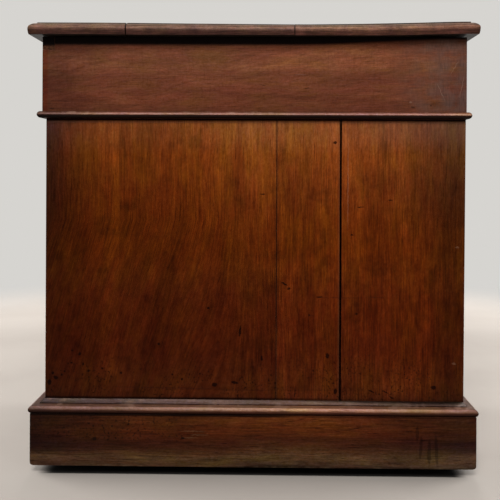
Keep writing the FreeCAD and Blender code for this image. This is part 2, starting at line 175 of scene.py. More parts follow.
def figure_group():
    """Mahogany's figure, with Z along the grain: broad ribbons, streaks, soft arcs of growth and pores."""
    name = "Mahogany figure"
    if name in bpy.data.node_groups:
        return bpy.data.node_groups[name]
    tree, given = new_group(
        name, [("Place", "Vector"), ("Arcs", "Float"), ("Drift", "Float")],
        [("Tone", "Float"), ("Pores", "Float"), ("Hue", "Float"), ("Specks", "Float")],
    )
    drift = patches(given["Place"], 70, 240, 2.0).node.outputs["Color"]
    drift = put(tree, "ShaderNodeVectorMath", [drift, (0.5, 0.5, 0.5)], operation="SUBTRACT")
    drift = put(tree, "ShaderNodeVectorMath", {0: drift, "Scale": given["Drift"]}, operation="SCALE")
    drift = put(tree, "ShaderNodeVectorMath", [drift, (1, 1, 0)], operation="MULTIPLY")
    place = put(tree, "ShaderNodeVectorMath", [given["Place"], drift], operation="ADD")
    ribbon = patches(place, 34, 260, 3.0)
    streaks = patches(place, 9, 95, 3.0)
    lines = patches(place, 3.6, 48, 3.0, 0.6)
    fine = patches(place, 1.7, 24, 2.0, 0.6)
    clouds = patches(place, 22, 34, 3.0, 0.6)
    ripple = patches(place, 26, 7, 2.0)
    rings = put(
        tree, "ShaderNodeMath", [product(patches(place, 90, 620, 1.5, 0.4), 46.0)], operation="SINE"
    )
    tone = product(ribbon, 0.26)
    for layer, share in ((streaks, 0.20), (lines, 0.22), (fine, 0.20), (clouds, 0.18), (ripple, 0.06)):
        tone = put(tree, "ShaderNodeMath", [layer, share, tone], operation="MULTIPLY_ADD")
    tone = put(tree, "ShaderNodeMath", [rings, given["Arcs"], tone], operation="MULTIPLY_ADD")
    tone = put(tree, "ShaderNodeMapRange", [tone, 0.42, 0.70])
    # Real pores are a third of a millimetre wide: they are drawn six times as coarse, so that they show
    pores = fade(patches(place, 1.9, 34, 2.0, 0.7), 0.57, 0.70)
    hue = patches(place, 24, 70, 3.0, 0.6)
    specks = patches(place, 2.6, 5.0, 3.0, 0.75)
    put(tree, "NodeGroupOutput", [tone, pores, hue, specks])
    return tree


def mark_group():
    """One mark on a flat face: 1 inside an ellipse of that length and width, turned by that angle."""
    name = "Mark on a face"
    if name in bpy.data.node_groups:
        return bpy.data.node_groups[name]
    tree, given = new_group(
        name, [("Place", "Vector"), ("Middle", "Vector"), ("Angle", "Float"), ("Size", "Vector")],
        [("Mark", "Float")],
    )
    away = put(tree, "ShaderNodeVectorMath", [given["Place"], given["Middle"]], operation="SUBTRACT")
    turned = put(
        tree, "ShaderNodeVectorRotate", {"Vector": away, "Angle": given["Angle"]}, rotation_type="X_AXIS"
    )
    scaled = put(tree, "ShaderNodeVectorMath", [turned, given["Size"]], operation="DIVIDE")
    length = put(tree, "ShaderNodeVectorMath", [scaled], operation="LENGTH").node.outputs["Value"]
    put(tree, "NodeGroupOutput", [fade(length, 1.15, 0.7)])
    return tree


def marks(place, spots):
    """All the spots as one mask. A spot is its Y and Z, half its length and height, and its angle."""
    tree = place.id_data
    wobble = patches(place, 5, 5, 2.0).node.outputs["Color"]
    wobble = put(tree, "ShaderNodeVectorMath", [wobble, (0.5, 0.5, 0.5)], operation="SUBTRACT")
    wobble = put(tree, "ShaderNodeVectorMath", {0: wobble, "Scale": 3.6}, operation="SCALE")
    flat = put(tree, "ShaderNodeVectorMath", [place, wobble], operation="ADD")
    flat = put(tree, "ShaderNodeVectorMath", [flat, (0, 1, 1)], operation="MULTIPLY")
    mask = None
    for y, z, length, height, angle in spots:
        one = put(
            tree, "ShaderNodeGroup",
            {
                "Place": flat, "Middle": (0, y, z), "Angle": math.radians(angle),
                "Size": (1, length, height),
            },
            node_tree=mark_group(),
        )
        mask = one if mask is None else put(tree, "ShaderNodeMath", [mask, one], operation="MAXIMUM")
    return mask


def along_grain(place, grain, mitre):
    """The place with its Z along the grain. Mitred boards run along X or Y, whichever side they are on."""
    tree = place.id_data
    axes = put(tree, "ShaderNodeSeparateXYZ", [place]).node.outputs
    ways = {"X": ("Y", "Z", "X"), "Y": ("X", "Z", "Y"), "Z": ("X", "Y", "Z")}
    if not mitre:
        return put(tree, "ShaderNodeCombineXYZ", [axes[a] for a in ways[grain]]), None, None
    middle_x, half_x, half_y = mitre
    out_x = put(
        tree, "ShaderNodeMath", [off(off(axes["X"], 0.0), middle_x), half_x], operation="SUBTRACT"
    )
    out_y = put(tree, "ShaderNodeMath", [off(axes["Y"], DESK_MIDDLE_Y), half_y], operation="SUBTRACT")
    ahead = put(tree, "ShaderNodeMath", [out_y, out_x], operation="SUBTRACT")
    across = put(tree, "ShaderNodeMath", [ahead, 0.0], operation="GREATER_THAN")
    along = put(
        tree, "ShaderNodeMix",
        {
            0: across, 4: put(tree, "ShaderNodeCombineXYZ", [axes[a] for a in ways["Y"]]),
            5: put(tree, "ShaderNodeCombineXYZ", [axes[a] for a in ways["X"]]),
        },
        data_type="VECTOR",
    )
    seam = fade(off(ahead, 0.0), 0.9, 0.25)
    return along, seam, across


# Shares of red, green and blue that streaks, changes of hue and specks give to a wood, from low to high
FIGURE_SHARES = (
    ((0.0, (0.44, 0.41, 0.42)), (0.5, (0.98, 0.97, 0.96)), (1.0, (1.58, 1.62, 1.60))),
    (
        (0.30, (0.92, 0.76, 1.10)), (0.42, (1.08, 0.88, 0.92)), (0.52, (1.0, 1.0, 1.0)),
        (0.62, (1.05, 1.14, 0.72)), (0.72, (0.98, 1.20, 0.66)),
    ),
    ((0.28, (0.80, 0.66, 0.40)), (0.5, (1.0, 1.0, 1.0)), (0.72, (1.22, 1.38, 1.80))),
)


class Board:
    """A finish while it is mixed: its tree, its colour so far, the place in mm and the wood's pattern."""

    def __init__(self, name, grain="Z", mitre=None, arcs=0.0, drift=14.0, lean=False):
        self.material = bpy.data.materials.new(name)
        self.material.use_nodes = True
        self.tree = tree = self.material.node_tree
        tree.nodes.clear()
        self.colour = None
        given = put(tree, "ShaderNodeTexCoord").node.outputs
        self.place = put(
            tree, "ShaderNodeVectorMath", {0: given["Object"], "Scale": 1 / MM}, operation="SCALE"
        )
        axes = put(tree, "ShaderNodeSeparateXYZ", [self.place]).node.outputs
        self.x, self.y, self.z = axes
        self.normal = given["Normal"]
        facing = put(tree, "ShaderNodeVectorMath", [self.normal], operation="ABSOLUTE")
        self.facing = put(tree, "ShaderNodeSeparateXYZ", [facing]).node.outputs
        self.up = put(tree, "ShaderNodeSeparateXYZ", [self.normal]).node.outputs["Z"]
        start = self.leaning() if lean else self.place
        self.grain, self.seam, self.across = along_grain(start, grain, mitre)
        figure = put(
            tree, "ShaderNodeGroup", {"Place": self.grain, "Arcs": arcs, "Drift": drift},
            node_tree=figure_group(),
        ).node.outputs
        self.tone, self.pores, self.hue, self.specks = figure
        widest = put(
            tree, "ShaderNodeMath",
            [self.facing[0], put(tree, "ShaderNodeMath", [*self.facing[1:]], operation="MAXIMUM")],
            operation="MAXIMUM",
        )
        self.edge = fade(widest, 0.995, 0.93)

    def leaning(self):
        """The place, slid sideways so that the grain leans low down on the front half of an end."""
        tree = self.tree
        below = put(
            tree, "ShaderNodeMath",
            [put(tree, "ShaderNodeMath", [self.z, 430.0], operation="SUBTRACT"), 0.0],
            operation="MINIMUM",
        )
        below = product(below, fade(self.y, 20, -140))
        slide = product(below, -0.27)
        shift = put(tree, "ShaderNodeCombineXYZ", [0.0, slide, 0.0])
        return put(tree, "ShaderNodeVectorMath", [self.place, shift], operation="ADD")

    def patchy(self, size, low, high):
        """A mask in soft patches of about that many mm."""
        return fade(patches(self.place, size, size, 4.0, 0.6), low, high)

    def mottled(self, size, first, second):
        """Two tones in soft patches of about that many mm."""
        shown = self.patchy(size, 0.35, 0.65)
        return put(self.tree, "ShaderNodeValToRGB", [shown], stops=[(0.0, first), (1.0, second)])

    def mix(self, tint, mask, share=1.0, blend="MIX"):
        """Lays a tint over the colour where the mask is, at that share."""
        if isinstance(tint, (str, tuple)):
            tint = linear(tint) if isinstance(tint, str) else (*tint, 1.0)
        amount = mask if share == 1.0 else product(mask, share)
        self.colour = tinted(self.tree, self.colour, tint, amount, blend)

    def times(self, shares, mask=1.0, share=1.0):
        """Multiplies the colour by those shares of red, green and blue where the mask is."""
        self.mix(shares, mask, share, "MULTIPLY")

    def wave(self, pattern, dark, light, places, mask=1.0):
        """Darkens the colour where the pattern is low and lightens it where it is high."""
        for shares, (start, end) in ((dark, places[:2]), (light, places[2:])):
            self.times(shares, product(fade(pattern, start, end), mask))

    def line(self, value, middle, reach, soft):
        """A mask that is 1 within reach of a place in mm, and fades out over soft mm more."""
        away = off(value, middle)
        return fade(away, reach + soft, reach)

    def fibres(self, depth, hue_depth=0.6, pore_depth=0.5, speck_depth=0.8):
        """Gives the colour the grain: streaks, redder and more golden patches, specks and pores."""
        patterns = ((self.tone, depth), (self.hue, hue_depth), (self.specks, speck_depth))
        for (pattern, share), stops in zip(patterns, FIGURE_SHARES):
            self.times(put(self.tree, "ShaderNodeValToRGB", [pattern], stops=stops), share)
        self.times(linear("#6A5048"), self.pores, pore_depth)

    def close(self, roughness, specular, relief=0.10):
        """The material, with a fine relief from pores and figure."""
        tree = self.tree
        height = put(
            tree, "ShaderNodeMath", [self.pores, -0.6, product(self.tone, 0.5)], operation="MULTIPLY_ADD"
        )
        bump = put(tree, "ShaderNodeBump", {"Strength": 0.6, "Distance": relief * MM, "Height": height})
        rough = put(tree, "ShaderNodeMapRange", [self.tone, 0.0, 1.0, roughness + 0.06, roughness - 0.05])
        return self.surfaced({"Roughness": rough, "Specular IOR Level": specular, "Normal": bump})

    def surfaced(self, inputs):
        """The material, with one surface that takes the colour and those inputs."""
        surface = put(self.tree, "ShaderNodeBsdfPrincipled", {"Base Color": self.colour, **inputs})
        put(self.tree, "ShaderNodeOutputMaterial", [surface])
        return self.material


# Dark and pale marks on the pedestal's end boards, in mm: Y, Z, half length, half height, angle
WORM_HOLES = (
    (-306, 184, 2.1, 2.1, 0), (-286, 182, 1.9, 2.4, 0), (-277, 170, 2.3, 2.0, 0),
    (-253, 174, 2.0, 2.2, 0), (-221, 167, 2.3, 2.3, 0), (-133, 165, 2.0, 1.9, 0),
    (-116, 157, 2.2, 2.1, 0), (-323, 163, 2.0, 2.0, 0), (-318, 169, 1.8, 1.8, 0),
    (-292, 199, 2.6, 2.6, 0), (-305, 205, 1.8, 1.8, 0), (-338, 166, 2.4, 3.0, 0),
    (-156, 217, 2.2, 2.4, 0), (-72, 279, 2.2, 2.2, 0), (101, 268, 2.0, 1.9, 0), (181, 271, 2.2, 1.8, 0),
)
DARK_MARKS = (
    (-17, 240, 2.2, 10, 6), (144, 563, 3.5, 2.2, 0), (20, 474, 5, 1.2, 0), (188, 453, 7, 0.9, -4),
    (238, 465, 4, 1.3, 0), (173, 405, 3, 1.5, 0), (58, 321, 6, 1.8, 30), (66, 313, 3, 2.0, -20),
    (118, 299, 6, 1.4, 0), (132, 199, 3.5, 5, 0), (20, 194, 2.5, 5, 0), (146, 138, 3, 5, 0),
    (313, 146, 4, 4, 0), (77, 137, 1.0, 10, 4), (207, 139, 6, 1.2, 25), (231, 138, 6, 1.2, 25),
    (241, 129, 6, 1.4, 25), (-60, 148, 5, 4, 0), (-26, 152, 6, 2.5, 10), (-344, 150, 4, 5, 0),
    (-333, 158, 5, 3, 20),
)
SCRATCHES = (
    (-150, 142, 100, 1.1, 0.6), (-10, 139, 46, 0.9, 0.5), (150, 298, 46, 0.7, -0.5),
    (215, 299, 18, 0.6, 1.5), (103, 268, 6, 1.0, 10),
)
PALE_MARKS = ((352, 385, 3.5, 2.0, 0), (347, 187, 3.5, 2.0, 10), (166, 500, 0.9, 90, 0))


def end_boards():
    """French-polished mahogany, sun-worn: golden brown above, near black-brown towards the floor, partly
    the wood's colour and partly painted light that falls off downwards.
    """
    board = Board("mahogany_end_boards", "Z", arcs=0.012, lean=True)
    tree = board.tree
    board.colour = by_place(
        board.z,
        [
            (124, "#3C190A"), (147, "#461D09"), (200, "#441806"), (268, "#471905"), (302, "#4B1C06"),
            (336, "#512106"), (378, "#552305"), (430, "#5B2707"), (481, "#632D0C"), (541, "#723912"),
            (590, "#7D4824"),
        ],
    )
    # Both ends of the side are darker, the front one more, partly darkened wood and partly painted shade
    # where the light falls off towards the ends, and each board is its own tree
    above = by_place(
        board.y,
        [
            (-357, (0.18, 0.21, 0.60)), (-344, (0.22, 0.25, 0.68)), (-317, (0.36, 0.32, 0.45)),
            (-267, (0.60, 0.54, 0.45)), (-183, (0.70, 0.62, 0.52)), (-87, (0.89, 0.80, 0.62)),
            (5, (1.0, 1.0, 1.0)), (150, (1.04, 1.04, 1.0)), (200, (1.10, 1.10, 1.1)),
            (255, (0.96, 0.97, 1.1)), (306, (0.66, 0.74, 1.1)), (345, (0.42, 0.55, 1.0)),
        ],
    )
    below = by_place(
        board.y,
        [
            (-357, (0.50, 0.60, 0.90)), (-317, (0.68, 0.72, 0.80)), (-267, (0.75, 0.75, 0.85)),
            (-183, (0.73, 0.75, 0.85)), (5, (0.90, 0.93, 1.0)), (44, (0.90, 0.92, 1.0)),
            (46, (1.1, 1.12, 1.1)), (153, (1.05, 1.05, 1.0)), (155, (1.0, 1.0, 1.05)),
            (255, (1.22, 1.22, 1.10)), (300, (1.20, 1.22, 1.05)), (332, (0.78, 0.90, 1.0)),
        ],
    )
    shares = tinted(tree, below, above, fade(board.z, 280, 480))
    board.times(shares)
    board.fibres(0.85, 0.55, 0.42)
    # Finer streaks than the figure's, which show most below the middle, and a grey veil at the back's top
    streaks = patches(board.grain, 1.8, 42, 2.0, 0.65)
    deeper = fade(board.z, 560, 420, 0.55, 1.0)
    leans = product(fade(board.z, 430, 330), fade(board.y, 20, -100))
    deeper = product(deeper, fade(leans, 0.0, 1.0, 1.0, 0.45))
    board.wave(streaks, (0.74, 0.70, 0.72), (1.26, 1.27, 1.20), (0.50, 0.36, 0.51, 0.66), deeper)
    veil = product(fade(board.z, 545, 585), fade(board.y, 170, 240))
    board.mix("#6A4634", veil, 0.22)
    # Sapwood that ends at a sharp line, strong and faint by turns down the board
    turns = fade(patches(board.place, 40, 60, 1.0), 0.36, 0.6, 0.5, 1.0)
    sap = product(fade(board.y, -290, -230), fade(board.y, -224.6, -226.2), turns)
    board.times((1.36, 1.42, 1.25), sap)
    # A dirty hairline in the closed joint; in the open one, black painted over its rounded arrises as the
    # gap's shade, and beside it a rubbed edge that is partly painted highlight
    board.mix("#70503E", board.edge, 0.12)
    board.times((0.92, 0.94, 1.0), board.line(board.y, CLOSED_JOINT, 2.6, 1.6))
    board.mix("#1E0602", board.line(board.y, CLOSED_JOINT, 0.6, 0.7), 0.60)
    board.mix("#4E2C1A", board.line(board.y, OPEN_JOINT - 2.5, 1.0, 1.4), 0.45)
    board.mix("#0A0000", board.line(board.y, OPEN_JOINT, 1.3, 1.0), 0.98)
    spots = fade(patches(board.place, 3.8, 4.4, 3.0, 0.6), 0.57, 0.63)
    crowds = fade(patches(board.place, 50, 40, 2.0), 0.36, 0.60)
    board.mix("#0E0402", product(spots, fade(board.z, 235, 150), crowds), 0.8)
    clouds = patches(board.place, 16, 30, 4.0, 0.65)
    cloudy = fade(board.z, 470, 330, 0.35, 1.0)
    board.wave(clouds, (0.80, 0.76, 0.78), (1.20, 1.24, 1.10), (0.50, 0.34, 0.50, 0.66), cloudy)
    smudges = fade(patches(board.place, 34, 42, 3.0, 0.6), 0.56, 0.72)
    board.times((0.66, 0.68, 0.74), smudges, 0.8)
    lighter = product(board.line(board.z, 132, 5, 3), board.line(board.y, 10, 130, 90))
    board.times((1.30, 1.26, 1.20), lighter)
    holes = marks(board.place, WORM_HOLES)
    dark = put(tree, "ShaderNodeMath", [holes, marks(board.place, DARK_MARKS)], operation="MAXIMUM")
    board.mix("#0B0302", dark, 0.85)
    board.mix("#2A1008", marks(board.place, SCRATCHES), 0.45)
    board.mix("#80604C", marks(board.place, PALE_MARKS), 0.22)
    board.mix("#6A4E40", board.line(board.z, 597.0, 0.8, 1.4), 0.22)
    # Painted shade: a black band under the bead, and a dark band along the foot just above the plinth
    # moulding
    board.mix("#0C0302", fade(board.z, 597.8, 600.4), 0.97)
    foot = product(fade(board.z, 128.0, 124.5), fade(board.y, -60, 200, 1.0, 0.25))
    board.mix("#0A0402", foot, 0.8)
    return board.close(0.46, 0.015)


def frieze_board():
    """Mahogany whose polish has gone dull and grey-brown, with the wavy arcs of a flat-sawn board."""
    board = Board("mahogany_frieze_board", "Y", arcs=0.05, drift=60.0)
    tree = board.tree
    board.colour = by_place(
        board.z,
        [
            (603, "#603422"), (630, "#5C321F"), (650, "#603422"), (671, "#613623"), (691, "#6B3F29"),
            (712, "#693E29"), (724, "#57311F"), (742, "#4A281A"),
        ],
    )
    lighter = product(fade(board.y, -20, 60), fade(board.z, 670, 700))
    board.times((1.16, 1.14, 1.08), lighter)
    board.times((0.62, 0.62, 0.66), fade(board.y, -215, -345))
    # Fine bands that climb across the grain, as the saw left them
    slant = put(
        tree, "ShaderNodeVectorRotate", {"Vector": board.grain, "Angle": math.radians(13)},
        rotation_type="X_AXIS",
    )
    bands = patches(slant, 5, 55, 3.0, 0.65)
    board.wave(bands, (0.90, 0.88, 0.88), (1.07, 1.09, 1.10), (0.52, 0.38, 0.50, 0.64))
    # Curls that stand across the grain, and fine level lines
    curls = patches(board.place, 3.4, 15, 3.0, 0.65, 0.6)
    board.times((0.88, 0.86, 0.84), fade(curls, 0.50, 0.36))
    level = patches(board.grain, 1.5, 60, 2.0, 0.6)
    board.wave(level, (0.86, 0.84, 0.84), (1.10, 1.10, 1.10), (0.52, 0.38, 0.52, 0.66))
    board.fibres(0.46, 0.45, 0.3, 0.7)
    board.times((0.98, 0.72, 0.62), fade(board.y, -346, -350))
    dull = product(fade(board.y, 215, 350), board.patchy(22, 0.22, 0.74))
    board.mix("#5C473E", dull, 0.72)
    crazed = product(dull, fade(patches(board.place, 2.6, 16), 0.46, 0.62))
    board.times((0.74, 0.74, 0.76), crazed)
    board.times((0.78, 0.82, 0.90), fade(board.y, 280, 356))
    dark = marks(
        board.place,
        (
            (-340, 619, 4, 1.5, 0), (275, 623, 4, 1.5, 10), (305, 626, 2, 1.5, 0), (20, 660, 6, 0.8, 0),
            (95, 655, 4, 0.8, 0),
        ),
    )
    board.mix("#1C0D07", dark, 0.6)
    pale = marks(
        board.place,
        (
            (84, 678, 9, 0.6, 0), (271, 632, 3, 1.4, 0), (345, 690, 0.6, 14, 30),
            (322, 650, 0.6, 18, -24), (358, 660, 0.6, 20, 12),
        ),
    )
    board.mix("#94796A", pale, 0.22)
    board.mix("#6E5040", board.edge, 0.12)
    # Painted shadow under the overhang: darker, then black, reaching less far down towards the back, where
    # the top has lifted
    lift = fade(board.y, 60, 370, 0.0, 10.0)
    depth = put(tree, "ShaderNodeMath", [board.z, lift], operation="SUBTRACT")
    board.times((0.90, 0.87, 0.85), fade(depth, 710, 726))
    board.mix("#050100", fade(depth, 725.0, 731.2), 0.98)
    return board.close(0.50, 0.035)


def plain_mahogany(
    name, grain, tones, depth=0.6, arcs=0.02, wear=0.3, specular=0.08, roughness=0.42, ends=None
):
    """Mahogany on the other boards. ends is the size along X past which the saw cut across the grain."""
    board = Board(name, grain, arcs=arcs, drift=30.0)
    board.colour = board.mottled(160, *tones)
    board.fibres(depth)
    if ends:
        past = put(board.tree, "ShaderNodeMath", [off(board.x, 0.0), ends], operation="GREATER_THAN")
        past = product(past, board.facing[0])
        board.mix(board.mottled(2.2, "#2A180E", "#4A2C1C"), past)
        # The end grain is painted black under the top's overhang, as the shadow there
        board.mix("#030000", product(past, fade(board.z, 724, 729)), 0.98)
    worn = product(board.edge, board.patchy(30, 0.30, 0.62))
    board.mix("#8C6450", worn, wear)
    return board.close(roughness, specular)


def moulding(name, mitre, stops, ends, heights=()):
    """Moulded mahogany, mitred at the corners, coloured by which way each face looks: painted highlight on
    the upper faces, partly worn pale where hands and dust reach, and painted shade underneath.

    Each of ends is a share of the colour, painted highlight and shade included, at a place along the depth,
    on the lengths that run that way; the lengths that run across are kept darker.
    Each of heights gives a tone of its own to what is above a height: where it starts, where it is full.
    """
    board = Board(name, mitre=mitre)
    tree = board.tree
    board.colour = put(
        tree, "ShaderNodeValToRGB", [put(tree, "ShaderNodeMapRange", [board.up, -1.0, 1.0])], stops=stops
    )
    for low, high, tone in heights:
        board.mix(tone, fade(board.z, low, high))
    shares = tinted(tree, by_place(board.y, ends), (0.42, 0.42, 0.46, 1), board.across)
    board.times(shares)
    board.fibres(0.75, 0.45, 0.5)
    board.mix("#0E0604", board.seam, 0.8)
    # Patches on the upper faces are lighter, partly rubbed wood and partly painted highlight
    rubbed_and_highlight = product(board.patchy(26, 0.50, 0.66), fade(board.up, 0.1, 0.5))
    board.mix("#A88472", rubbed_and_highlight, 0.25)
    return board.close(0.40, 0.06)


def plinth_wood():
    """Mahogany near the floor: red-brown, mopped until a greenish worn band shows at its foot."""
    board = Board(
        "mahogany_plinth_boards", mitre=(PEDESTAL_MIDDLE_X, *PEDESTAL_HALF), arcs=0.03, drift=30.0
    )
    tree = board.tree
    # The band stands higher on the back half, and its edge wanders
    height = put(tree, "ShaderNodeMath", [board.z, fade(board.y, -60, 20, 5.0, -3.0)], operation="ADD")
    height = put(tree, "ShaderNodeMath", [height, fade(board.y, 90, 160, 0.0, 3.0)], operation="ADD")
    board.colour = by_place(
        height,
        [
            (14, "#2A1D13"), (18, "#463222"), (25, "#503822"), (33, "#553C25"), (41, "#4D311B"),
            (50, "#3F2211"), (58, "#3E1E0F"), (67, "#49220E"), (75, "#52260E"), (92, "#552A10"),
            (100, "#522910"),
        ],
    )
    # The side's ends are darkest, partly darkened wood and partly painted shade where the light falls off
    # towards them; the mopped band below is darkened least
    shares = by_place(
        board.y,
        [
            (-372, (0.20, 0.25, 0.50)), (-342, (0.25, 0.30, 0.60)), (-278, (0.40, 0.42, 0.65)),
            (-193, (0.66, 0.67, 0.75)), (-92, (0.83, 0.83, 0.90)), (10, (0.88, 0.86, 0.92)),
            (100, (1.0, 1.0, 1.0)), (210, (0.76, 0.72, 0.90)), (294, (0.60, 0.60, 0.90)),
            (348, (0.42, 0.50, 1.0)),
        ],
    )
    amount = product(board.facing[0], fade(board.z, 28, 52, 0.42, 1.0))
    board.times(shares, amount)
    board.fibres(0.7, 0.6, 0.7, 1.0)
    lines = patches(board.grain, 1.7, 60, 2.0, 0.65)
    board.wave(lines, (0.76, 0.74, 0.74), (1.22, 1.22, 1.20), (0.50, 0.36, 0.51, 0.66))
    grime = product(fade(patches(board.grain, 9, 40, 3.0, 0.6), 0.52, 0.66), 0.5)
    board.times((0.50, 0.52, 0.60), grime)
    board.mix("#0E0604", board.seam, 0.8)
    holes = marks(
        board.place,
        (
            (-246, 78, 1.6, 1.6, 0), (-238, 69, 1.5, 1.5, 0), (-232, 82, 1.7, 1.7, 0),
            (-226, 62, 1.5, 1.8, 0), (-240, 58, 1.4, 1.4, 0), (-262, 60, 4.0, 3.0, 0),
            (-205, 84, 1.8, 1.4, 0), (-112, 62, 3.5, 2.0, 0),
        ),
    )
    board.mix("#0E0604", holes, 0.8)
    spots = fade(patches(board.place, 3.8, 4.2, 3.0, 0.6), 0.58, 0.64)
    spots = product(spots, fade(board.y, -60, -160), fade(board.z, 50, 62))
    board.mix("#140804", spots, 0.75)
    runs = marks(
        board.place,
        ((288, 50, 3.2, 20, 4), (302, 42, 3.2, 24, 0), (314, 46, 3.0, 28, -3), (282, 74, 3, 14, 0)),
    )
    board.times((0.52, 0.52, 0.56), runs, 0.9)
    scratches = marks(
        board.place, ((-96, 74, 22, 0.8, 0), (-84, 68, 16, 0.8, 1), (-100, 63, 12, 0.7, -1))
    )
    board.mix("#7C5C40", scratches, 0.22)
    chips = product(fade(board.z, 19, 15), board.patchy(24, 0.48, 0.64))
    board.mix("#5A4A38", chips, 0.3)
    shadow = product(fade(board.z, 97.5, 100.5), fade(board.y, 30, 90, 1.0, 0.5))
    board.mix("#070201", shadow, 0.9)
    return board.close(0.48, 0.03)


def oak(name, middle_x, half_x):
    """Quarter-sawn oak left bare: drawer sides run front to back, the back and the bottom run across."""
    board = Board(name, mitre=(middle_x, half_x, 4000.0) if half_x else None, grain="Y")
    board.colour = board.mottled(120, "#A6835A", "#B8966A")
    board.fibres(0.4, 0.2)
    flecks = fade(patches(board.grain, 9, 26, 1.0), 0.66, 0.72)
    board.mix("#D2B48A", flecks, 0.35)
    board.mix("#6E5234", board.patchy(60, 0.55, 0.75), 0.35)
    return board.close(0.66, 0.25, relief=0.16)


def metal(name, tones, roughness, rust):
    """Cast or turned metal that has aged: dull in patches, brighter where it rubs."""
    board = Board(name)
    tree = board.tree
    board.colour = board.mottled(9, *tones[:2])
    board.mix(rust, board.patchy(5, 0.52, 0.66), 0.6)
    board.mix(tones[2], board.edge, 0.6)
    pits = patches(board.place, 0.8, 0.8, 3.0)
    bump = put(tree, "ShaderNodeBump", {"Strength": 0.4, "Distance": 0.15 * MM, "Height": pits})
    rough = fade(board.patchy(4, 0.3, 0.7), 0.0, 1.0, roughness, roughness + 0.2)
    return board.surfaced({"Metallic": 1.0, "Roughness": rough, "Normal": bump})


def leather(colours):
    """Hide dyed green and glazed: fine pebbles, paler where sleeves have rubbed it, darker at the edges."""
    board = Board("tooled_leather")
    tree = board.tree
    rub = put(
        tree, "ShaderNodeMath", [fade(off(board.x, 0.0), 520, 120), fade(off(board.y, -130), 190, 30)],
        operation="MULTIPLY",
    )
    rub = product(rub, board.patchy(130, 0.15, 0.85))
    board.colour = tinted(tree, (*colours.leather, 1.0), (*colours.leather_rubbed, 1.0), rub)
    board.mix("#0E1A12", board.patchy(45, 0.54, 0.74), 0.35)
    # Hide has pebbles under half a millimetre: drawn at 1.6 mm, the finest that shows
    cells = put(
        tree, "ShaderNodeTexVoronoi", {"Vector": board.place, "Scale": 1 / 1.6},
        feature="DISTANCE_TO_EDGE",
    )
    crease = fade(cells, 0.0, 0.22)
    # The creases between the pebbles are painted darker, as the shade in them
    board.times(linear("#7A8478"), put(tree, "ShaderNodeMath", [1.0, crease], operation="SUBTRACT"))
    bump = put(tree, "ShaderNodeBump", {"Strength": 0.5, "Distance": 0.2 * MM, "Height": crease})
    rough = fade(rub, 0.0, 1.0, 0.55, 0.46)
    return board.surfaced({"Roughness": rough, "Specular IOR Level": 0.35, "Normal": bump})


def gilding():
    """Gold leaf pressed into hide: bright, thin, and rubbed through to the leather here and there."""
    board = Board("gold_leaf_tooling")
    gone = board.patchy(12, 0.55, 0.68)
    board.colour = linear("#C79A45")
    board.mix("#3A4426", gone, 0.8)
    left = put(board.tree, "ShaderNodeMath", [1.0, gone], operation="SUBTRACT")
    return board.surfaced({"Metallic": left, "Roughness": 0.36})


def made_object(name, mesh):
    """An object at the origin that holds the mesh, linked to the scene."""
    piece = bpy.data.objects.new(name, mesh)
    bpy.context.scene.collection.objects.link(piece)
    return piece


def merged_copy(node):
    """A copy of a CAD node's shape with its loose triangles joined up."""
    work = bmesh.new()
    work.from_mesh(NODES[node].data)
    bmesh.ops.remove_doubles(work, verts=work.verts, dist=0.01 * MM)
    bmesh.ops.dissolve_limit(work, angle_limit=math.radians(0.5), verts=work.verts, edges=work.edges)
    return work


def shells(work):
    """The separate solids in a shape, as lists of faces."""
    left = set(work.faces)
    found = []
    while left:
        group = []
        queue = [left.pop()]
        while queue:
            face = queue.pop()
            group.append(face)
            for edge in face.edges:
                for other in edge.link_faces:
                    if other in left:
                        left.remove(other)
                        queue.append(other)
        found.append(group)
    return found


def spread(faces, axis):
    """The lowest and highest place of some faces along an axis."""
    places = [vert.co[axis] for face in faces for vert in face.verts]
    return min(places), max(places)


def finished(work, name, materials):
    """Turns a worked shape into a piece with those materials."""
    mesh = bpy.data.meshes.new(name)
    work.normal_update()
    work.to_mesh(mesh)
    work.free()
    for material in materials:
        mesh.materials.append(material)
    return made_object(name, mesh)


def joined_tree(smooth):
    """Joins a node's triangles. Boards are shaded flat, turned and moulded parts smooth."""
    name = "Joined and smooth" if smooth else "Joined and flat"
    if name in bpy.data.node_groups:
        return bpy.data.node_groups[name]
    tree = bpy.data.node_groups.new(name, "GeometryNodeTree")
    tree.interface.new_socket("Geometry", in_out="INPUT", socket_type="NodeSocketGeometry")
    tree.interface.new_socket("Geometry", in_out="OUTPUT", socket_type="NodeSocketGeometry")
    given = tree.nodes.new("NodeGroupInput").outputs
    joined = put(tree, "GeometryNodeMergeByDistance", {"Geometry": given[0], "Distance": 0.01 * MM})
    shade = {"Geometry": joined, "Shade Smooth": smooth}
    shaded = put(tree, "GeometryNodeSetShadeSmooth", shade, domain="FACE")
    if smooth:
        steep = put(
            tree, "ShaderNodeMath", [put(tree, "GeometryNodeInputMeshEdgeAngle"), math.radians(28)],
            operation="GREATER_THAN",
        )
        shade = {"Geometry": shaded, "Selection": steep, "Shade Smooth": False}
        shaded = put(tree, "GeometryNodeSetShadeSmooth", shade, domain="EDGE")
    put(tree, "NodeGroupOutput", [shaded])
    return tree


def soften(piece, width, smooth=False):
    """Takes the sharpness off a piece's edges with a small rounding, as sanding and use do."""
    joined = piece.modifiers.new("Joined", "NODES")
    joined.node_group = joined_tree(smooth)
    rounding = piece.modifiers.new("Rounded edges", "BEVEL")
    rounding.width = width
    rounding.segments = 2
    rounding.limit_method = "ANGLE"
    rounding.angle_limit = math.radians(40)


def dress(node, material, width, smooth=False):
    """Gives a CAD node its material and soft edges."""
    piece = NODES[node]
    piece.data.materials.clear()
    piece.data.materials.append(material)
    soften(piece, width, smooth)


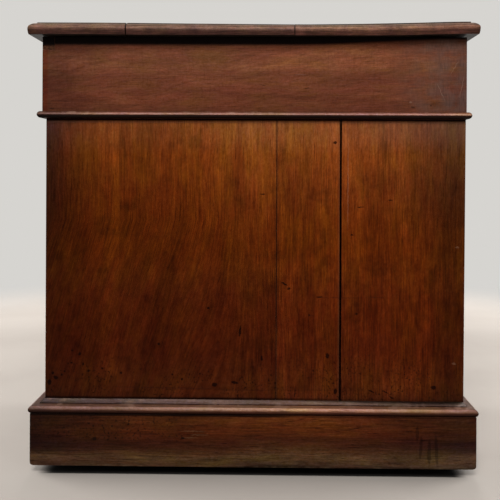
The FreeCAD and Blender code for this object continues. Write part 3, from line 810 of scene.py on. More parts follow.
def placed(piece, body, slot, *nodes):
    """Rides a piece on its body and hides the nodes that it stands for. The slot is not used."""
    if nodes:
        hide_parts(*nodes)
    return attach(piece, body)


def new_tree(name, inputs):
    """An empty Geometry Nodes tree with named inputs, and the sockets that hold what comes in."""
    tree = bpy.data.node_groups.new(name, "GeometryNodeTree")
    tree.interface.new_socket("Geometry", in_out="OUTPUT", socket_type="NodeSocketGeometry")
    for socket, kind in inputs:
        tree.interface.new_socket(socket, in_out="INPUT", socket_type="NodeSocket" + kind)
    return tree, tree.nodes.new("NodeGroupInput").outputs


def grown(tree, name, values):
    """Runs a Geometry Nodes tree with these values and gives the plain mesh that it makes, as a piece."""
    piece = made_object(name, bpy.data.meshes.new(name + "_start"))
    modifier = piece.modifiers.new("Made", "NODES")
    modifier.node_group = tree
    for item in tree.interface.items_tree:
        if item.in_out == "INPUT":
            modifier[item.identifier] = values[item.name]
    seen = piece.evaluated_get(bpy.context.evaluated_depsgraph_get())
    mesh = bpy.data.meshes.new_from_object(seen)
    piece.modifiers.clear()
    start = piece.data
    piece.data = mesh
    bpy.data.meshes.remove(start)
    mesh.name = name
    if not mesh.polygons:
        raise RuntimeError(name + " came out empty")
    return piece


def shaped(share, points):
    """A smooth line through points, read at share."""
    line = put(share.id_data, "ShaderNodeFloatCurve", {"Value": share})
    curve = line.node.mapping.curves[0]
    for i, (x, y) in enumerate(points):
        point = curve.points[i] if i < 2 else curve.points.new(x, y)
        point.location = (x, y)
    line.node.mapping.update()
    return line


def knob_tree():
    """Turned knobs in a row: a collar against the wood, a waist, a wide rim and a domed face."""
    tree, given = new_tree(
        "Turned knobs",
        [
            ("First", "Vector"), ("Spacing", "Float"), ("Reach", "Float"), ("Rim radius", "Float"),
            ("Wood", "Material"),
        ],
    )
    line = put(tree, "GeometryNodeCurvePrimitiveLine", {"Start": (0, 0, 0), "End": (0, -1, 0)})
    line = put(tree, "GeometryNodeResampleCurve", {"Curve": line, "Count": 33})
    share = put(tree, "GeometryNodeSplineParameter")
    out = shaped(
        share, ((0, 0), (0.10, 0.05), (0.35, 0.30), (0.68, 0.62), (0.80, 0.78), (0.90, 0.93), (1, 1))
    )
    wide = shaped(
        share,
        (
            (0, 0.60), (0.09, 0.60), (0.15, 0.49), (0.35, 0.42), (0.52, 0.60), (0.66, 0.95), (0.73, 1.0),
            (0.80, 0.96), (0.90, 0.66), (0.96, 0.32), (1, 0.01),
        ),
    )
    along = put(tree, "ShaderNodeCombineXYZ", [0.0, product(out, given["Reach"], -1.0), 0.0])
    line = put(tree, "GeometryNodeSetPosition", {"Geometry": line, "Position": along})
    line = put(
        tree, "GeometryNodeSetCurveRadius", {"Curve": line, "Radius": product(wide, given["Rim radius"])}
    )
    ring = put(tree, "GeometryNodeCurvePrimitiveCircle", {"Resolution": 40, "Radius": 1.0})
    inputs = {"Curve": line, "Profile Curve": ring, "Fill Caps": True}
    knob = put(tree, "GeometryNodeCurveToMesh", inputs)
    if "Scale" in knob.node.inputs:
        tree.links.new(put(tree, "GeometryNodeInputRadius"), knob.node.inputs["Scale"])
    knob = put(tree, "GeometryNodeSetShadeSmooth", {"Geometry": knob, "Shade Smooth": True})
    row = put(
        tree, "GeometryNodeMeshLine",
        {
            "Count": 2, "Start Location": given["First"],
            "Offset": put(tree, "ShaderNodeCombineXYZ", [given["Spacing"], 0.0, 0.0]),
        },
        mode="OFFSET",
    )
    row = put(tree, "GeometryNodeInstanceOnPoints", {"Points": row, "Instance": knob})
    row = put(tree, "GeometryNodeRealizeInstances", {"Geometry": row})
    row = put(tree, "GeometryNodeSetMaterial", {"Geometry": row, "Material": given["Wood"]})
    put(tree, "NodeGroupOutput", [row])
    return tree


def tooling_tree():
    """Gold tooling round the leather: two fine lines, with a four-petalled stamp at every step between."""
    tree, given = new_tree(
        "Leather tooling",
        [
            ("Middle", "Vector"), ("Width", "Float"), ("Depth", "Float"), ("Band", "Float"),
            ("Line", "Float"), ("Step", "Float"), ("Petal", "Float"), ("Proud", "Float"),
            ("Gold", "Material"),
        ],
    )

    def frame_at(inset_share):
        inset = product(given["Band"], 2.0 * inset_share)
        return put(
            tree, "GeometryNodeCurvePrimitiveQuadrilateral",
            {
                "Width": put(tree, "ShaderNodeMath", [given["Width"], inset], operation="SUBTRACT"),
                "Height": put(tree, "ShaderNodeMath", [given["Depth"], inset], operation="SUBTRACT"),
            },
            mode="RECTANGLE",
        )

    section = put(
        tree, "GeometryNodeCurvePrimitiveQuadrilateral",
        {"Width": given["Line"], "Height": given["Proud"]}, mode="RECTANGLE",
    )
    parts = []
    for inset_share in (0.0, 0.12, 1.0):
        inputs = {"Curve": frame_at(inset_share), "Profile Curve": section}
        parts.append(put(tree, "GeometryNodeCurveToMesh", inputs))
    petal = put(
        tree, "GeometryNodeMeshCylinder",
        {"Vertices": 6, "Radius": given["Petal"], "Depth": given["Proud"]},
    )
    petal = put(tree, "GeometryNodeTransform", {"Geometry": petal, "Scale": (1.0, 0.42, 1.0)})
    petal = put(
        tree, "GeometryNodeTransform",
        {"Geometry": petal, "Translation": put(tree, "ShaderNodeCombineXYZ", [given["Petal"], 0.0, 0.0])},
    )
    turns = put(tree, "GeometryNodeMeshLine", {"Count": 4, "Offset": (0, 0, 0)}, mode="OFFSET")
    turn = product(put(tree, "GeometryNodeInputIndex"), math.pi / 2)
    flower = put(
        tree, "GeometryNodeInstanceOnPoints",
        {
            "Points": turns, "Instance": petal,
            "Rotation": put(tree, "ShaderNodeCombineXYZ", [0.0, 0.0, turn]),
        },
    )
    flower = put(tree, "GeometryNodeRealizeInstances", {"Geometry": flower})
    path = put(
        tree, "GeometryNodeResampleCurve", {"Curve": frame_at(0.56), "Length": given["Step"]},
        mode="LENGTH",
    )
    parts.append(put(tree, "GeometryNodeInstanceOnPoints", {"Points": path, "Instance": flower}))
    joined = tree.nodes.new("GeometryNodeJoinGeometry")
    for part in reversed(parts):
        tree.links.new(part, joined.inputs[0])
    moved = put(
        tree, "GeometryNodeTransform", {"Geometry": joined.outputs[0], "Translation": given["Middle"]}
    )
    plain = put(tree, "GeometryNodeRealizeInstances", {"Geometry": moved})
    gold = put(tree, "GeometryNodeSetMaterial", {"Geometry": plain, "Material": given["Gold"]})
    put(tree, "NodeGroupOutput", [gold])
    return tree


def screw_tree():
    """Round-headed screws, four round each castor plate, with a slot across each head."""
    tree, given = new_tree(
        "Plate screws",
        [
            ("First", "Vector"), ("Along X", "Vector"), ("Along Y", "Vector"), ("Corner", "Float"),
            ("Head radius", "Float"), ("Iron", "Material"),
        ],
    )
    dome = put(
        tree, "GeometryNodeMeshUVSphere", {"Segments": 16, "Rings": 8, "Radius": given["Head radius"]}
    )
    dome = put(tree, "GeometryNodeTransform", {"Geometry": dome, "Scale": (1.0, 1.0, 0.5)})
    slot = put(tree, "GeometryNodeMeshCube", {"Size": (0.0006, 0.02, 0.0014)})
    slot = put(
        tree, "GeometryNodeTransform",
        {
            "Geometry": slot,
            "Translation": put(
                tree, "ShaderNodeCombineXYZ", [0.0, 0.0, product(given["Head radius"], -0.5)]
            ),
        },
    )
    head = put(
        tree, "GeometryNodeMeshBoolean", {"Mesh 1": dome, "Mesh 2": slot}, operation="DIFFERENCE",
        solver="FLOAT",
    )
    corners = put(
        tree, "GeometryNodeMeshGrid",
        {"Size X": given["Corner"], "Size Y": given["Corner"], "Vertices X": 2, "Vertices Y": 2},
    )
    turn = put(
        tree, "FunctionNodeRandomValue", {"Min": (0.0, 0.0, 0.0), "Max": (0.0, 0.0, 3.0), "Seed": 5},
        data_type="FLOAT_VECTOR",
    )
    four = put(
        tree, "GeometryNodeInstanceOnPoints", {"Points": corners, "Instance": head, "Rotation": turn}
    )
    four = put(tree, "GeometryNodeRealizeInstances", {"Geometry": four})
    line = put(
        tree, "GeometryNodeMeshLine",
        {"Count": 2, "Start Location": given["First"], "Offset": given["Along X"]}, mode="OFFSET",
    )
    pair = put(tree, "GeometryNodeInstanceOnPoints", {"Points": line, "Instance": four})
    pair = put(tree, "GeometryNodeRealizeInstances", {"Geometry": pair})
    rows = put(tree, "GeometryNodeMeshLine", {"Count": 2, "Offset": given["Along Y"]}, mode="OFFSET")
    every = put(tree, "GeometryNodeInstanceOnPoints", {"Points": rows, "Instance": pair})
    plain = put(tree, "GeometryNodeRealizeInstances", {"Geometry": every})
    iron = put(tree, "GeometryNodeSetMaterial", {"Geometry": plain, "Material": given["Iron"]})
    put(tree, "NodeGroupOutput", [iron])
    return tree


class DeskSizes(bpy.types.PropertyGroup):
    """Sizes that a user of the desk may change."""

    edge_rounding: FloatProperty(
        name="Edge rounding", description="Width of the rounding on the boards' edges", default=0.0010,
        min=0.0, unit="LENGTH",
    )
    fine_rounding: FloatProperty(
        name="Fine rounding", description="Width of the rounding on mouldings, drawers and fittings",
        default=0.0004, min=0.0, unit="LENGTH",
    )
    cupping: FloatProperty(
        name="Cupping", description="How far the top's back edge has lifted as the boards cupped",
        default=0.0055, min=0.0, max=0.006, unit="LENGTH",
    )
    side_widening: FloatProperty(
        name="Side widening",
        description="How much further back the pedestals' outer sides reach at their tops",
        default=0.0044, min=0.0, max=0.008, unit="LENGTH",
    )
    corner_wear: FloatProperty(
        name="Plinth corner wear", description="How far the plinth's lower corners are worn round",
        default=0.008, min=0.0, unit="LENGTH",
    )
    knob_reach: FloatProperty(
        name="Knob reach", description="How far a knob stands out from its drawer", default=0.027,
        min=0.0, unit="LENGTH",
    )
    knob_rim: FloatProperty(
        name="Knob rim", description="Radius of a knob's rim", default=0.0165, min=0.0, unit="LENGTH"
    )
    tooling_band: FloatProperty(
        name="Tooling band", description="Width of the tooled border on the leather", default=0.014,
        min=0.0, unit="LENGTH",
    )
    tooling_step: FloatProperty(
        name="Tooling step", description="Distance between two stamps of the border", default=0.0105,
        min=0.001, unit="LENGTH",
    )


class DeskColours(bpy.types.PropertyGroup):
    """Colours that a user of the desk may change."""

    leather: FloatVectorProperty(
        name="Leather", description="The dyed hide on the writing surface", subtype="COLOR",
        default=linear("#1E3A2A")[:3], min=0.0, max=1.0,
    )
    leather_rubbed: FloatVectorProperty(
        name="Rubbed leather", description="The hide where sleeves have worn it", subtype="COLOR",
        default=linear("#2E4A38")[:3], min=0.0, max=1.0,
    )
    floor: FloatVectorProperty(
        name="Floor", description="The stage's floor near the desk", subtype="COLOR",
        default=linear("#A8A098")[:3], min=0.0, max=1.0,
    )
    backdrop: FloatVectorProperty(
        name="Backdrop", description="The pale surround behind the desk", subtype="COLOR",
        default=linear("#D6D4D0")[:3], min=0.0, max=1.0,
    )


# The camera stands at the desk's right-hand end and looks along its length
CAMERA_PLACE = (2.0615, 0.0224, 0.514)
CAMERA_YAW = -0.0169
CAMERA_ROLL = 0.0043
CAMERA_LENS = 59.0
CAMERA_SHIFT = -0.1584
FLOOR_RADIUS = 9.0
LAMPS = (
    ("key_lamp", (3.35, -0.25, 2.95), (0.66, 0.0, 0.40), 1.1, 116.0),
    ("front_lamp", (-0.6, -3.6, 2.3), (0.0, -0.4, 0.4), 2.4, 170.0),
    ("back_lamp", (-0.8, 3.6, 2.3), (0.0, 0.4, 0.4), 2.4, 170.0),
    ("far_lamp", (-3.6, 0.3, 2.4), (-0.66, 0.0, 0.4), 2.4, 170.0),
)


def background_rays(tree):
    """1 for what the camera, a mirror or a glass sees, and 0 for what lights the desk."""
    rays = put(tree, "ShaderNodeLightPath").node.outputs
    seen = put(
        tree, "ShaderNodeMath", [rays["Is Camera Ray"], rays["Is Glossy Ray"]], operation="MAXIMUM"
    )
    return put(tree, "ShaderNodeMath", [seen, rays["Is Transmission Ray"]], operation="MAXIMUM")


class DESK_OT_stage(bpy.types.Operator):
    """Sets up the camera, the lamps, the pale surround and the floor"""

    bl_idname = "desk.stage"
    bl_label = "Stage"

    def execute(self, context):
        scene = context.scene
        scene.view_settings.view_transform = "Standard"
        colours = scene.desk_colours
        camera = bpy.data.cameras.new("camera")
        camera.lens = CAMERA_LENS
        camera.sensor_width = 36.0
        camera.shift_y = CAMERA_SHIFT
        holder = made_object("camera", camera)
        ahead = Vector((-math.cos(CAMERA_YAW), math.sin(CAMERA_YAW), 0.0))
        level = Vector((math.sin(CAMERA_YAW), math.cos(CAMERA_YAW), 0.0))
        right = level * math.cos(CAMERA_ROLL) + Vector((0, 0, 1)) * math.sin(CAMERA_ROLL)
        up = right.cross(ahead)
        turn = Matrix((right, up, -ahead)).transposed().to_4x4()
        holder.matrix_world = Matrix.Translation(CAMERA_PLACE) @ turn
        scene.camera = holder

        for name, place, target, size, power in LAMPS:
            lamp = bpy.data.lights.new(name, "AREA")
            lamp.size = size
            lamp.energy = power
            holder = made_object(name, lamp)
            # Seen edge-on, the top would mirror the lamp that faces the camera
            holder.visible_glossy = name != "far_lamp"
            holder.location = place
            holder.rotation_euler = (Vector(target) - Vector(place)).to_track_quat("-Z", "Y").to_euler()

        world = bpy.data.worlds.new("pale_surround")
        scene.world = world
        world.use_nodes = True
        tree = world.node_tree
        tree.nodes.clear()
        shown = put(tree, "ShaderNodeBackground", {"Color": (*colours.backdrop, 1.0), "Strength": 1.0})
        light = put(tree, "ShaderNodeBackground", {"Color": linear("#FAFCFF"), "Strength": 0.36})
        both = put(tree, "ShaderNodeMixShader", [background_rays(tree), light, shown])
        put(tree, "ShaderNodeOutputWorld", [both])

        work = bmesh.new()
        bmesh.ops.create_circle(work, cap_ends=True, segments=96, radius=FLOOR_RADIUS)
        floor = finished(work, "floor", [self.floor_material(colours)])
        return {"FINISHED"}

    def floor_material(self, colours):
        """Smooth pale grey stone near the desk, which turns into the pale surround further out."""
        material = bpy.data.materials.new("pale_floor")
        material.use_nodes = True
        tree = material.node_tree
        tree.nodes.clear()
        place = put(tree, "ShaderNodeTexCoord").node.outputs["Object"]
        away = put(tree, "ShaderNodeVectorMath", [place], operation="LENGTH").node.outputs["Value"]
        far = fade(away, 1.15, 1.9)
        near = (*colours.floor, 1.0)
        cloudy = put(tree, "ShaderNodeTexNoise", {"Vector": place, "Scale": 3.0, "Detail": 4.0})
        colour = tinted(tree, near, linear("#9A928A"), fade(cloudy, 0.4, 0.65, 0.15, 0.45))
        # The floor under each plinth, painted near black as the shadow there
        axes = put(tree, "ShaderNodeSeparateXYZ", [place]).node.outputs
        painted_shadow_under_plinth = fade(off(off(axes["X"], 0.0), PEDESTAL_MIDDLE_X * MM), 0.217, 0.211)
        front, back = fade(axes["Y"], -0.364, -0.334), fade(axes["Y"], 0.368, 0.344)
        colour = tinted(tree, colour, linear("#030202"), product(painted_shadow_under_plinth, front, back, 0.98))
        matt = put(
            tree, "ShaderNodeBsdfPrincipled",
            {"Base Color": colour, "Roughness": 0.7, "Specular IOR Level": 0.2},
        )
        surround = put(tree, "ShaderNodeEmission", {"Color": (*colours.backdrop, 1.0), "Strength": 1.0})
        seen = product(far, background_rays(tree))
        both = put(tree, "ShaderNodeMixShader", [seen, matt, surround])
        put(tree, "ShaderNodeOutputMaterial", [both])
        return material


class DESK_OT_casework(bpy.types.Operator):
    """Finishes the frieze, the pedestals and their mouldings"""

    bl_idname = "desk.casework"
    bl_label = "Casework"

    def execute(self, context):
        sizes = context.scene.desk_sizes
        frieze = frieze_board()
        sides = end_boards()
        rails = plain_mahogany(
            "mahogany_rails", "X", ("#43200F", "#532A17"), wear=0.2, specular=0.035, ends=RAIL_ENDS_X
        )
        across = plain_mahogany("mahogany_long_boards", "X", ("#41200C", "#522A12"), arcs=0.03)
        upright = plain_mahogany(
            "mahogany_upright_boards", "Z", ("#3D1C0B", "#4E2710"), arcs=0.03, specular=0.05
        )
        inner = plain_mahogany(
            "mahogany_inner_boards", "Z", ("#3E1E0F", "#4C2714"), roughness=0.5, specular=0.05
        )
        runners = oak("oak_runners", 0.0, None)
        bead = moulding(
            "mahogany_frieze_bead", (0.0, *FRIEZE_HALF),
            [
                (0.0, "#0A0403"), (0.42, "#1E100B"), (0.50, "#4A2A1E"), (0.57, "#9A7466"),
                (0.70, "#8C6456"), (0.84, "#5A3426"), (1.0, "#4A2A1E"),
            ],
            [
                (-374, (0.45, 0.45, 0.5)), (-330, (0.62, 0.62, 0.66)), (-250, (1, 1, 1)), (60, (1, 1, 1)),
                (200, (1.2, 1.2, 1.2)), (376, (1.18, 1.18, 1.18)),
            ],
        )
        plinth_bead = moulding(
            "mahogany_plinth_moulding", (PEDESTAL_MIDDLE_X, *PEDESTAL_HALF),
            [
                (0.0, "#0A0402"), (0.20, "#240C05"), (0.34, "#3B2016"), (0.45, "#40241A"),
                (0.56, "#5A3C2E"), (0.68, "#86634F"), (0.82, "#A68170"), (0.96, "#A88372"),
            ],
            [
                (-382, (0.36, 0.36, 0.40)), (-297, (0.52, 0.50, 0.52)), (-140, (0.80, 0.78, 0.74)),
                (20, (0.88, 0.84, 0.76)), (85, (1.1, 1.02, 0.86)), (125, (1.1, 1.02, 0.86)),
                (190, (0.92, 0.84, 0.74)), (310, (0.70, 0.63, 0.55)), (386, (0.46, 0.44, 0.42)),
            ],
            # Tones above heights: the torus's top, a dark line painted as the shade in the quirk, and the
            # grey-brown top bevel
            ((113.6, 114.3, "#70503E"), (115.2, 115.5, "#2A130B"), (116.4, 116.8, "#74605A")),
        )
        plinth = plinth_wood()
        wide, fine = sizes.edge_rounding, sizes.fine_rounding
        for node, material, width in (
            ("frieze_end_left", frieze, wide), ("frieze_end_right", frieze, wide),
            ("frieze_back", across, wide), ("frieze_rails", rails, fine),
            ("frieze_partitions", upright, fine), ("frieze_runners", runners, fine),
        ):
            dress(node, material, width)
        dress("frieze_moulding", bead, fine, smooth=True)
        for side in SIDES:
            for part, material, width in (
                ("inner_side", upright, wide), ("pedestal_back", upright, wide),
                ("pedestal_shelves", inner, fine), ("drawer_runners", runners, fine),
            ):
                dress(side + "_" + part, material, width)
            dress(side + "_plinth_moulding", plinth_bead, fine, smooth=True)
            self.widening_side(side, sides, sizes)
            self.worn_plinth(side, plinth, sizes)
        return {"FINISHED"}

    def widening_side(self, side, material, sizes):
        """The outer boards: the back one gets wider towards its top, and the front one's edge is planed."""
        node = side + "_outer_side"
        work = merged_copy(node)
        low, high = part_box(node)
        for vert in work.verts:
            if vert.co.y > high.y - 0.1 * MM:
                share = (vert.co.z - low.z) / (high.z - low.z)
                vert.co.y += sizes.side_widening * (0.37 + 0.63 * share)
            elif vert.co.y < low.y + 0.1 * MM:
                vert.co.y += FRONT_EDGE_PLANED * MM
        piece = finished(work, side + "_outer_boards", [material])
        soften(piece, sizes.edge_rounding)
        placed(piece, "carcass", "mahogany", node)

    def worn_plinth(self, side, material, sizes):
        """The plinth's boards, with their lower outer corners worn round by feet and mops."""
        node = side + "_plinth"
        work = merged_copy(node)
        low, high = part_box(node)
        corners = [
            vert
            for vert in work.verts
            if vert.co.z < low.z + 0.1 * MM
            and min(vert.co.x - low.x, high.x - vert.co.x) < 0.1 * MM
            and min(vert.co.y - low.y, high.y - vert.co.y) < 0.1 * MM
        ]
        if not corners:
            raise RuntimeError(node + " has no outer corners")
        bmesh.ops.bevel(
            work, geom=corners, offset=sizes.corner_wear, segments=4, profile=0.5, affect="VERTICES"
        )
        piece = finished(work, side + "_plinth_boards", [material])
        soften(piece, sizes.edge_rounding)
        placed(piece, "carcass", "mahogany", node)


# The leather's grid, and its dents: how many to a metre, where in the noise they are, and how deep in mm
LEATHER_CELLS = (150, 74)
DENTS = ((9, 1.7, 0.05), (38, 4.1, 0.02))
DENT_TOP = 0.04
TURNED_DOWN = 0.35
# The gold border, in metres
TOOLING_INSET = 0.015
TOOLING_LINE = 0.0008
TOOLING_PETAL = 0.0021
TOOLING_PROUD = 0.00024
TOOLING_CLEAR = 0.00002
TOP_STEP = 0.03


class DESK_OT_top(bpy.types.Operator):
    """Finishes the top: three moulded boards and the tooled leather let into them"""

    bl_idname = "desk.top"
    bl_label = "Top"

    def execute(self, context):
        sizes = context.scene.desk_sizes
        colours = context.scene.desk_colours
        wood = self.top_wood()
        for part in ("front", "middle", "back"):
            node = "top_board_" + part
            work = merged_copy(node)
            low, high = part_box(node)
            count = math.ceil((high.y - low.y) / TOP_STEP)
            for i in range(1, count):
                place = (0, low.y + (high.y - low.y) * i / count, 0)
                everything = work.verts[:] + work.edges[:] + work.faces[:]
                bmesh.ops.bisect_plane(work, geom=everything, plane_co=place, plane_no=(0, 1, 0))
            height = work.verts.layers.float.new("height")
            for vert in work.verts:
                vert[height] = vert.co.z / MM
            self.cup(work.verts, sizes.cupping)
            piece = finished(work, part + "_top_board", [wood])
            soften(piece, sizes.edge_rounding, smooth=True)
            placed(piece, "carcass", "mahogany", node)
        self.writing_leather(colours, sizes)
        self.tooling(sizes)
        return {"FINISHED"}

    def cup(self, verts, most):
        """Lifts the top as old boards cup: most at the back, under two thirds of that in front.

        The underside stays on the frieze, and lifts only past it and by less.
        """
        for vert in verts:
            y = vert.co.y / MM
            start, end = next(pair for pair in zip(CUPPED, CUPPED[1:]) if y <= pair[1][0])
            lift = most * (start[1] + (end[1] - start[1]) * (y - start[0]) / (end[0] - start[0]))
            past_x = (abs(vert.co.x) / MM - FRIEZE_HALF[0]) / TOP_OVERHANG
            past_y = (abs(y - DESK_MIDDLE_Y) - FRIEZE_HALF[1]) / TOP_OVERHANG
            below = max(lift - UNDERSIDE_LAG * MM, 0.0) * min(max(past_x, past_y, 0.0), 1.0)
            height = min(max((vert.co.z / MM - FRIEZE_TOP_Z) / TOP_THICKNESS, 0.0), 1.0)
            vert.co.z += below + (lift - below) * height

    def top_wood(self):
        """Polished mahogany whose moulded edge is worn to a greyish pink where arms have rubbed it, painted
        lighter on its upper half as highlight and dark underneath as shade.
        """
        board = Board("mahogany_top_boards", "X", arcs=0.03, drift=30.0)
        tree = board.tree
        board.colour = board.mottled(200, "#5C2C14", "#713A1C")
        board.fibres(0.6)
        polished = board.colour
        # The ends show cut fibres, and they and the moulding's upper half are rubbed grey; down the edge
        # the tones also paint a highlight on the upper half and shade below it
        edge = put(
            tree, "ShaderNodeMath", [1.0, fade(board.facing[2], 0.93, 0.995)], operation="SUBTRACT"
        )
        # The tones follow the height before cupping, which each point keeps as a value of its own
        height = put(tree, "ShaderNodeAttribute", attribute_name="height").node.outputs["Fac"]
        board.colour = by_place(
            height,
            [
                (742, "#38211B"), (748, "#3A231C"), (751, "#543A2F"), (753.5, "#6E4E3E"),
                (755, "#7A5A4A"), (756.2, "#5E463A"), (757.5, "#644D3F"), (759.5, "#604A3B"),
                (760.2, "#5A4638"), (760.6, "#2A1E17"), (762, "#2A1E17"),
            ],
        )
        right = product(fade(board.y, 60, 90), fade(height, 756, 752))
        board.times((1.40, 1.34, 1.28), right)
        # Cut fibres and wear run along the edge as fine broken lines
        lines = patches(put(tree, "ShaderNodeCombineXYZ", [board.x, height, board.y]), 1.6, 30, 3.0, 0.7)
        board.wave(lines, (0.62, 0.60, 0.58), (1.36, 1.36, 1.36), (0.54, 0.38, 0.50, 0.66))
        for joint in TOP_JOINTS:
            board.mix("#140A06", board.line(board.y, joint, 0.7, 0.9), 0.85)
        board.fibres(0.7, 0.35, 0.4)
        board.times((0.70, 0.68, 0.66), fade(off(board.y, 3.0), 366, 378))
        board.colour = tinted(tree, polished, board.colour, edge)
        # Faces that look down are painted near black, as the shade under the top
        board.mix("#1E1814", fade(board.up, -0.4, -0.8))
        return board.close(0.40, 0.08)

    def writing_leather(self, colours, sizes):
        """A thin skin of hide, glued down flat but for the slight dents of years of writing."""
        low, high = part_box("writing_leather")
        count_x, count_y = LEATHER_CELLS
        work = bmesh.new()
        rows = []
        for z_share in (0, 1):
            grid = []
            for i in range(count_x + 1):
                for j in range(count_y + 1):
                    x = low.x + (high.x - low.x) * i / count_x
                    y = low.y + (high.y - low.y) * j / count_y
                    z = low.z
                    if z_share:
                        dent = sum(
                            noise.noise(Vector((x * n, y * n, w))) * depth for n, w, depth in DENTS
                        )
                        rim = TURNED_DOWN if 0 in (i, count_x - i, j, count_y - j) else 0.0
                        z = high.z + (min(dent, DENT_TOP) - DENT_TOP - rim) * MM
                    grid.append(work.verts.new((x, y, z)))
            rows.append(grid)
        across = count_y + 1
        for layer, grid in enumerate(rows):
            for i in range(count_x):
                for j in range(count_y):
                    a = i * across + j
                    face = [grid[a], grid[a + across], grid[a + across + 1], grid[a + 1]]
                    work.faces.new(face if layer else reversed(face))
        ring = [i * across for i in range(count_x + 1)]
        ring += [count_x * across + j for j in range(1, across)]
        ring += [i * across + count_y for i in range(count_x - 1, -1, -1)]
        ring += [j for j in range(count_y - 1, 0, -1)]
        for k, a in enumerate(ring):
            b = ring[(k + 1) % len(ring)]
            work.faces.new([rows[0][a], rows[0][b], rows[1][b], rows[1][a]])
        for face in work.faces:
            face.smooth = True
        self.cup(work.verts, sizes.cupping)
        piece = finished(work, "leather_panel", [leather(colours)])
        placed(piece, "carcass", "leather", "writing_leather")

    def tooling(self, sizes):
        """The gold border, a little inside the leather's edge."""
        low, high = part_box("writing_leather")
        middle = (low + high) / 2
        piece = grown(
            tooling_tree(), "leather_tooling",
            {
                "Middle": (middle.x, middle.y, high.z + TOOLING_CLEAR),
                "Width": high.x - low.x - 2 * TOOLING_INSET, "Depth": high.y - low.y - 2 * TOOLING_INSET,
                "Band": sizes.tooling_band, "Line": TOOLING_LINE, "Step": sizes.tooling_step,
                "Petal": TOOLING_PETAL, "Proud": TOOLING_PROUD, "Gold": gilding(),
            },
        )
        self.cup(piece.data.vertices, sizes.cupping)
        placed(piece, "carcass", "leather")


# What tells a knob and a cockbead from the rest of a drawer front: a share of its width, and metres
KNOB_SHARE = 0.2
KNOB_HEIGHT = 0.05
BEAD_DEPTH = 0.012


class DESK_OT_drawers(bpy.types.Operator):
    """Finishes the nine drawers, with smooth turned knobs in place of the flat-sided ones"""

    bl_idname = "desk.drawers"
    bl_label = "Drawers"

    def execute(self, context):
        sizes = context.scene.desk_sizes
        fronts = plain_mahogany(
            "mahogany_drawer_fronts", "X", ("#451F0D", "#5E2E14"), depth=0.8, arcs=0.04, specular=0.14,
            roughness=0.34,
        )
        bead = plain_mahogany(
            "mahogany_cockbead", "X", ("#381A0C", "#4A2412"), depth=0.4, wear=0.5, specular=0.16,
            roughness=0.36,
        )
        turned = plain_mahogany(
            "mahogany_turned_knobs", "Y", ("#3E180A", "#562410"), depth=0.5, wear=0.0, specular=0.22,
            roughness=0.28,
        )
        boxes = {
            "pedestal": oak("oak_pedestal_drawers", PEDESTAL_MIDDLE_X, LINING_HALF["pedestal"]),
            "frieze_side": oak("oak_frieze_drawers", FRIEZE_DRAWER_MIDDLE_X, LINING_HALF["frieze_side"]),
            "frieze_centre": oak("oak_centre_drawer", 0.0, LINING_HALF["frieze_centre"]),
        }
        tree = knob_tree()
        for word in FRIEZE_DRAWERS + PEDESTAL_DRAWERS:
            knobs = self.front_and_knobs(word, (fronts, bead), turned, tree, sizes)
            placed(knobs, word + "_drawer", "mahogany")
            kind = "pedestal"
            if word in FRIEZE_DRAWERS:
                kind = "frieze_centre" if word == "frieze_centre" else "frieze_side"
            dress(word + "_drawer_box", boxes[kind], sizes.fine_rounding)
        return {"FINISHED"}

    def front_and_knobs(self, word, woods, turned, tree, sizes):
        """The front and cockbead without the flat-sided knobs, and two smooth knobs where those were."""
        node = word + "_drawer_front"
        work = merged_copy(node)
        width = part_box(node)[1].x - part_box(node)[0].x
        places = []
        for group in shells(work):
            low, high = spread(group, 0)
            foot, head = spread(group, 2)
            if high - low < KNOB_SHARE * width and head - foot < KNOB_HEIGHT:
                places.append(((low + high) / 2, spread(group, 1)[1], (foot + head) / 2))
                verts = {vert for face in group for vert in face.verts}
                bmesh.ops.delete(work, geom=list(verts), context="VERTS")
            elif spread(group, 1)[1] - spread(group, 1)[0] < BEAD_DEPTH:
                for face in group:
                    face.material_index = 1
        if len(places) != 2:
            raise RuntimeError(node + " should have two knobs, and has " + str(len(places)))
        places.sort()
        front = finished(work, word + "_front", list(woods))
        soften(front, sizes.fine_rounding)
        placed(front, word + "_drawer", "mahogany", node)
        return grown(
            tree, word + "_knobs",
            {
                "First": places[0], "Spacing": places[1][0] - places[0][0], "Reach": sizes.knob_reach,
                "Rim radius": sizes.knob_rim, "Wood": turned,
            },
        )


# The castor plates' thickness, the square of their screws, a screw's head, and the wheel's trail, in metres
PLATE_THICKNESS = 0.003
SCREW_SQUARE = 0.033
SCREW_HEAD = 0.0024
CASTOR_TRAIL = 0.018


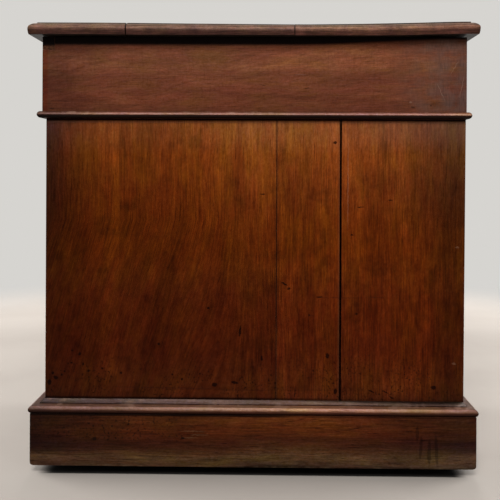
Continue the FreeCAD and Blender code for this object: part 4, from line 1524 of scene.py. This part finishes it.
class DESK_OT_castors(bpy.types.Operator):
    """Finishes the eight castors hidden in the plinths"""

    bl_idname = "desk.castors"
    bl_label = "Castors"

    def execute(self, context):
        sizes = context.scene.desk_sizes
        iron = metal("iron_castings", ("#2C2A28", "#3E3B38", "#6E6A66"), 0.48, "#4A2E1E")
        brass = metal("brass_wheels", ("#8A6C34", "#A8894A", "#D2B878"), 0.34, "#5A4526")
        for word in CASTORS:
            dress(word + "_fork", iron, sizes.fine_rounding, smooth=True)
            self.turned_wheel(word, brass)
        dress("castor_plates", iron, sizes.fine_rounding, smooth=True)
        self.screws(iron)
        return {"FINISHED"}

    def turned_wheel(self, word, brass):
        """A wheel turned from brass: rounded tread, a hollow cheek each side and a boss round the bore."""
        node = word + "_wheel"
        low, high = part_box(node)
        middle = (low + high) / 2
        half, radius = (high.x - low.x) / 2, (high.z - low.z) / 2
        section = (
            (1.0, 0.112), (1.0, 0.30), (0.62, 0.36), (0.55, 0.62), (0.62, 0.80), (0.86, 0.86),
            (0.94, 0.92), (0.80, 0.965), (0.45, 0.99), (0.0, 1.0),
        )
        profile = [*section, *((-share, r) for share, r in reversed(section[:-1]))]
        work = bmesh.new()
        verts = []
        for share, r in profile:
            verts.append(work.verts.new((middle.x + share * half, middle.y, middle.z + r * radius)))
        edges = [work.edges.new((verts[i], verts[(i + 1) % len(verts)])) for i in range(len(verts))]
        bmesh.ops.spin(
            work, geom=verts + edges, cent=middle, axis=(1, 0, 0), dvec=(0, 0, 0), angle=2 * math.pi,
            steps=48, use_merge=True,
        )
        bmesh.ops.remove_doubles(work, verts=work.verts, dist=0.01 * MM)
        bmesh.ops.recalc_face_normals(work, faces=work.faces)
        for face in work.faces:
            face.smooth = True
        piece = finished(work, word + "_turned_wheel", [brass])
        placed(piece, word + "_roller", "brass", node)

    def screws(self, iron):
        """Four screws in each plate, whose place comes from the fork that hangs under its middle."""
        tree = screw_tree()
        for side in SIDES:
            places = {}
            for row in ("front", "back"):
                for place in ("outer", "inner"):
                    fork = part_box("_".join((side, row, place, "castor_fork")))
                    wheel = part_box("_".join((side, row, place, "castor_wheel")))
                    middle_y = (wheel[0].y + wheel[1].y) / 2 - CASTOR_TRAIL
                    places[row, place] = ((fork[0].x + fork[1].x) / 2, middle_y)
            first = places["front", "outer"]
            piece = grown(
                tree, side + "_castor_screws",
                {
                    "First": (first[0], first[1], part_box("castor_plates")[1].z - PLATE_THICKNESS),
                    "Along X": (places["front", "inner"][0] - first[0], 0.0, 0.0),
                    "Along Y": (0.0, places["back", "outer"][1] - first[1], 0.0), "Corner": SCREW_SQUARE,
                    "Head radius": SCREW_HEAD, "Iron": iron,
                },
            )
            placed(piece, "carcass", "iron")


PIECES = (
    ("desk.stage", "Stage"), ("desk.casework", "Casework"), ("desk.top", "Top"),
    ("desk.drawers", "Drawers"), ("desk.castors", "Castors"),
)


class DESK_PT_pieces(bpy.types.Panel):
    """Lists the steps that finish the desk"""

    bl_idname = "DESK_PT_pieces"
    bl_label = "Pedestal desk"
    bl_space_type = "VIEW_3D"
    bl_region_type = "UI"
    bl_category = "Desk"

    def draw(self, context):
        layout = self.layout
        for group in (context.scene.desk_sizes, context.scene.desk_colours):
            for name in group.bl_rna.properties.keys():
                if name not in ("rna_type", "name"):
                    layout.prop(group, name)
        for step, label in PIECES:
            layout.operator(step, text=label)


CLASSES = (
    DeskSizes, DeskColours, DESK_OT_stage, DESK_OT_casework, DESK_OT_top, DESK_OT_drawers,
    DESK_OT_castors, DESK_PT_pieces,
)


def register():
    """Adds the operators, the panel and the settings."""
    for one in CLASSES:
        bpy.utils.register_class(one)
    bpy.types.Scene.desk_sizes = PointerProperty(type=DeskSizes)
    bpy.types.Scene.desk_colours = PointerProperty(type=DeskColours)


def unregister():
    """Takes them away again."""
    del bpy.types.Scene.desk_colours
    del bpy.types.Scene.desk_sizes
    for one in reversed(CLASSES):
        bpy.utils.unregister_class(one)


def main():
    """Builds the stage and finishes every piece."""
    register()
    bpy.ops.desk.stage()
    bpy.ops.desk.casework()
    bpy.ops.desk.top()
    bpy.ops.desk.drawers()
    bpy.ops.desk.castors()


if __name__ == "__main__":
    main()
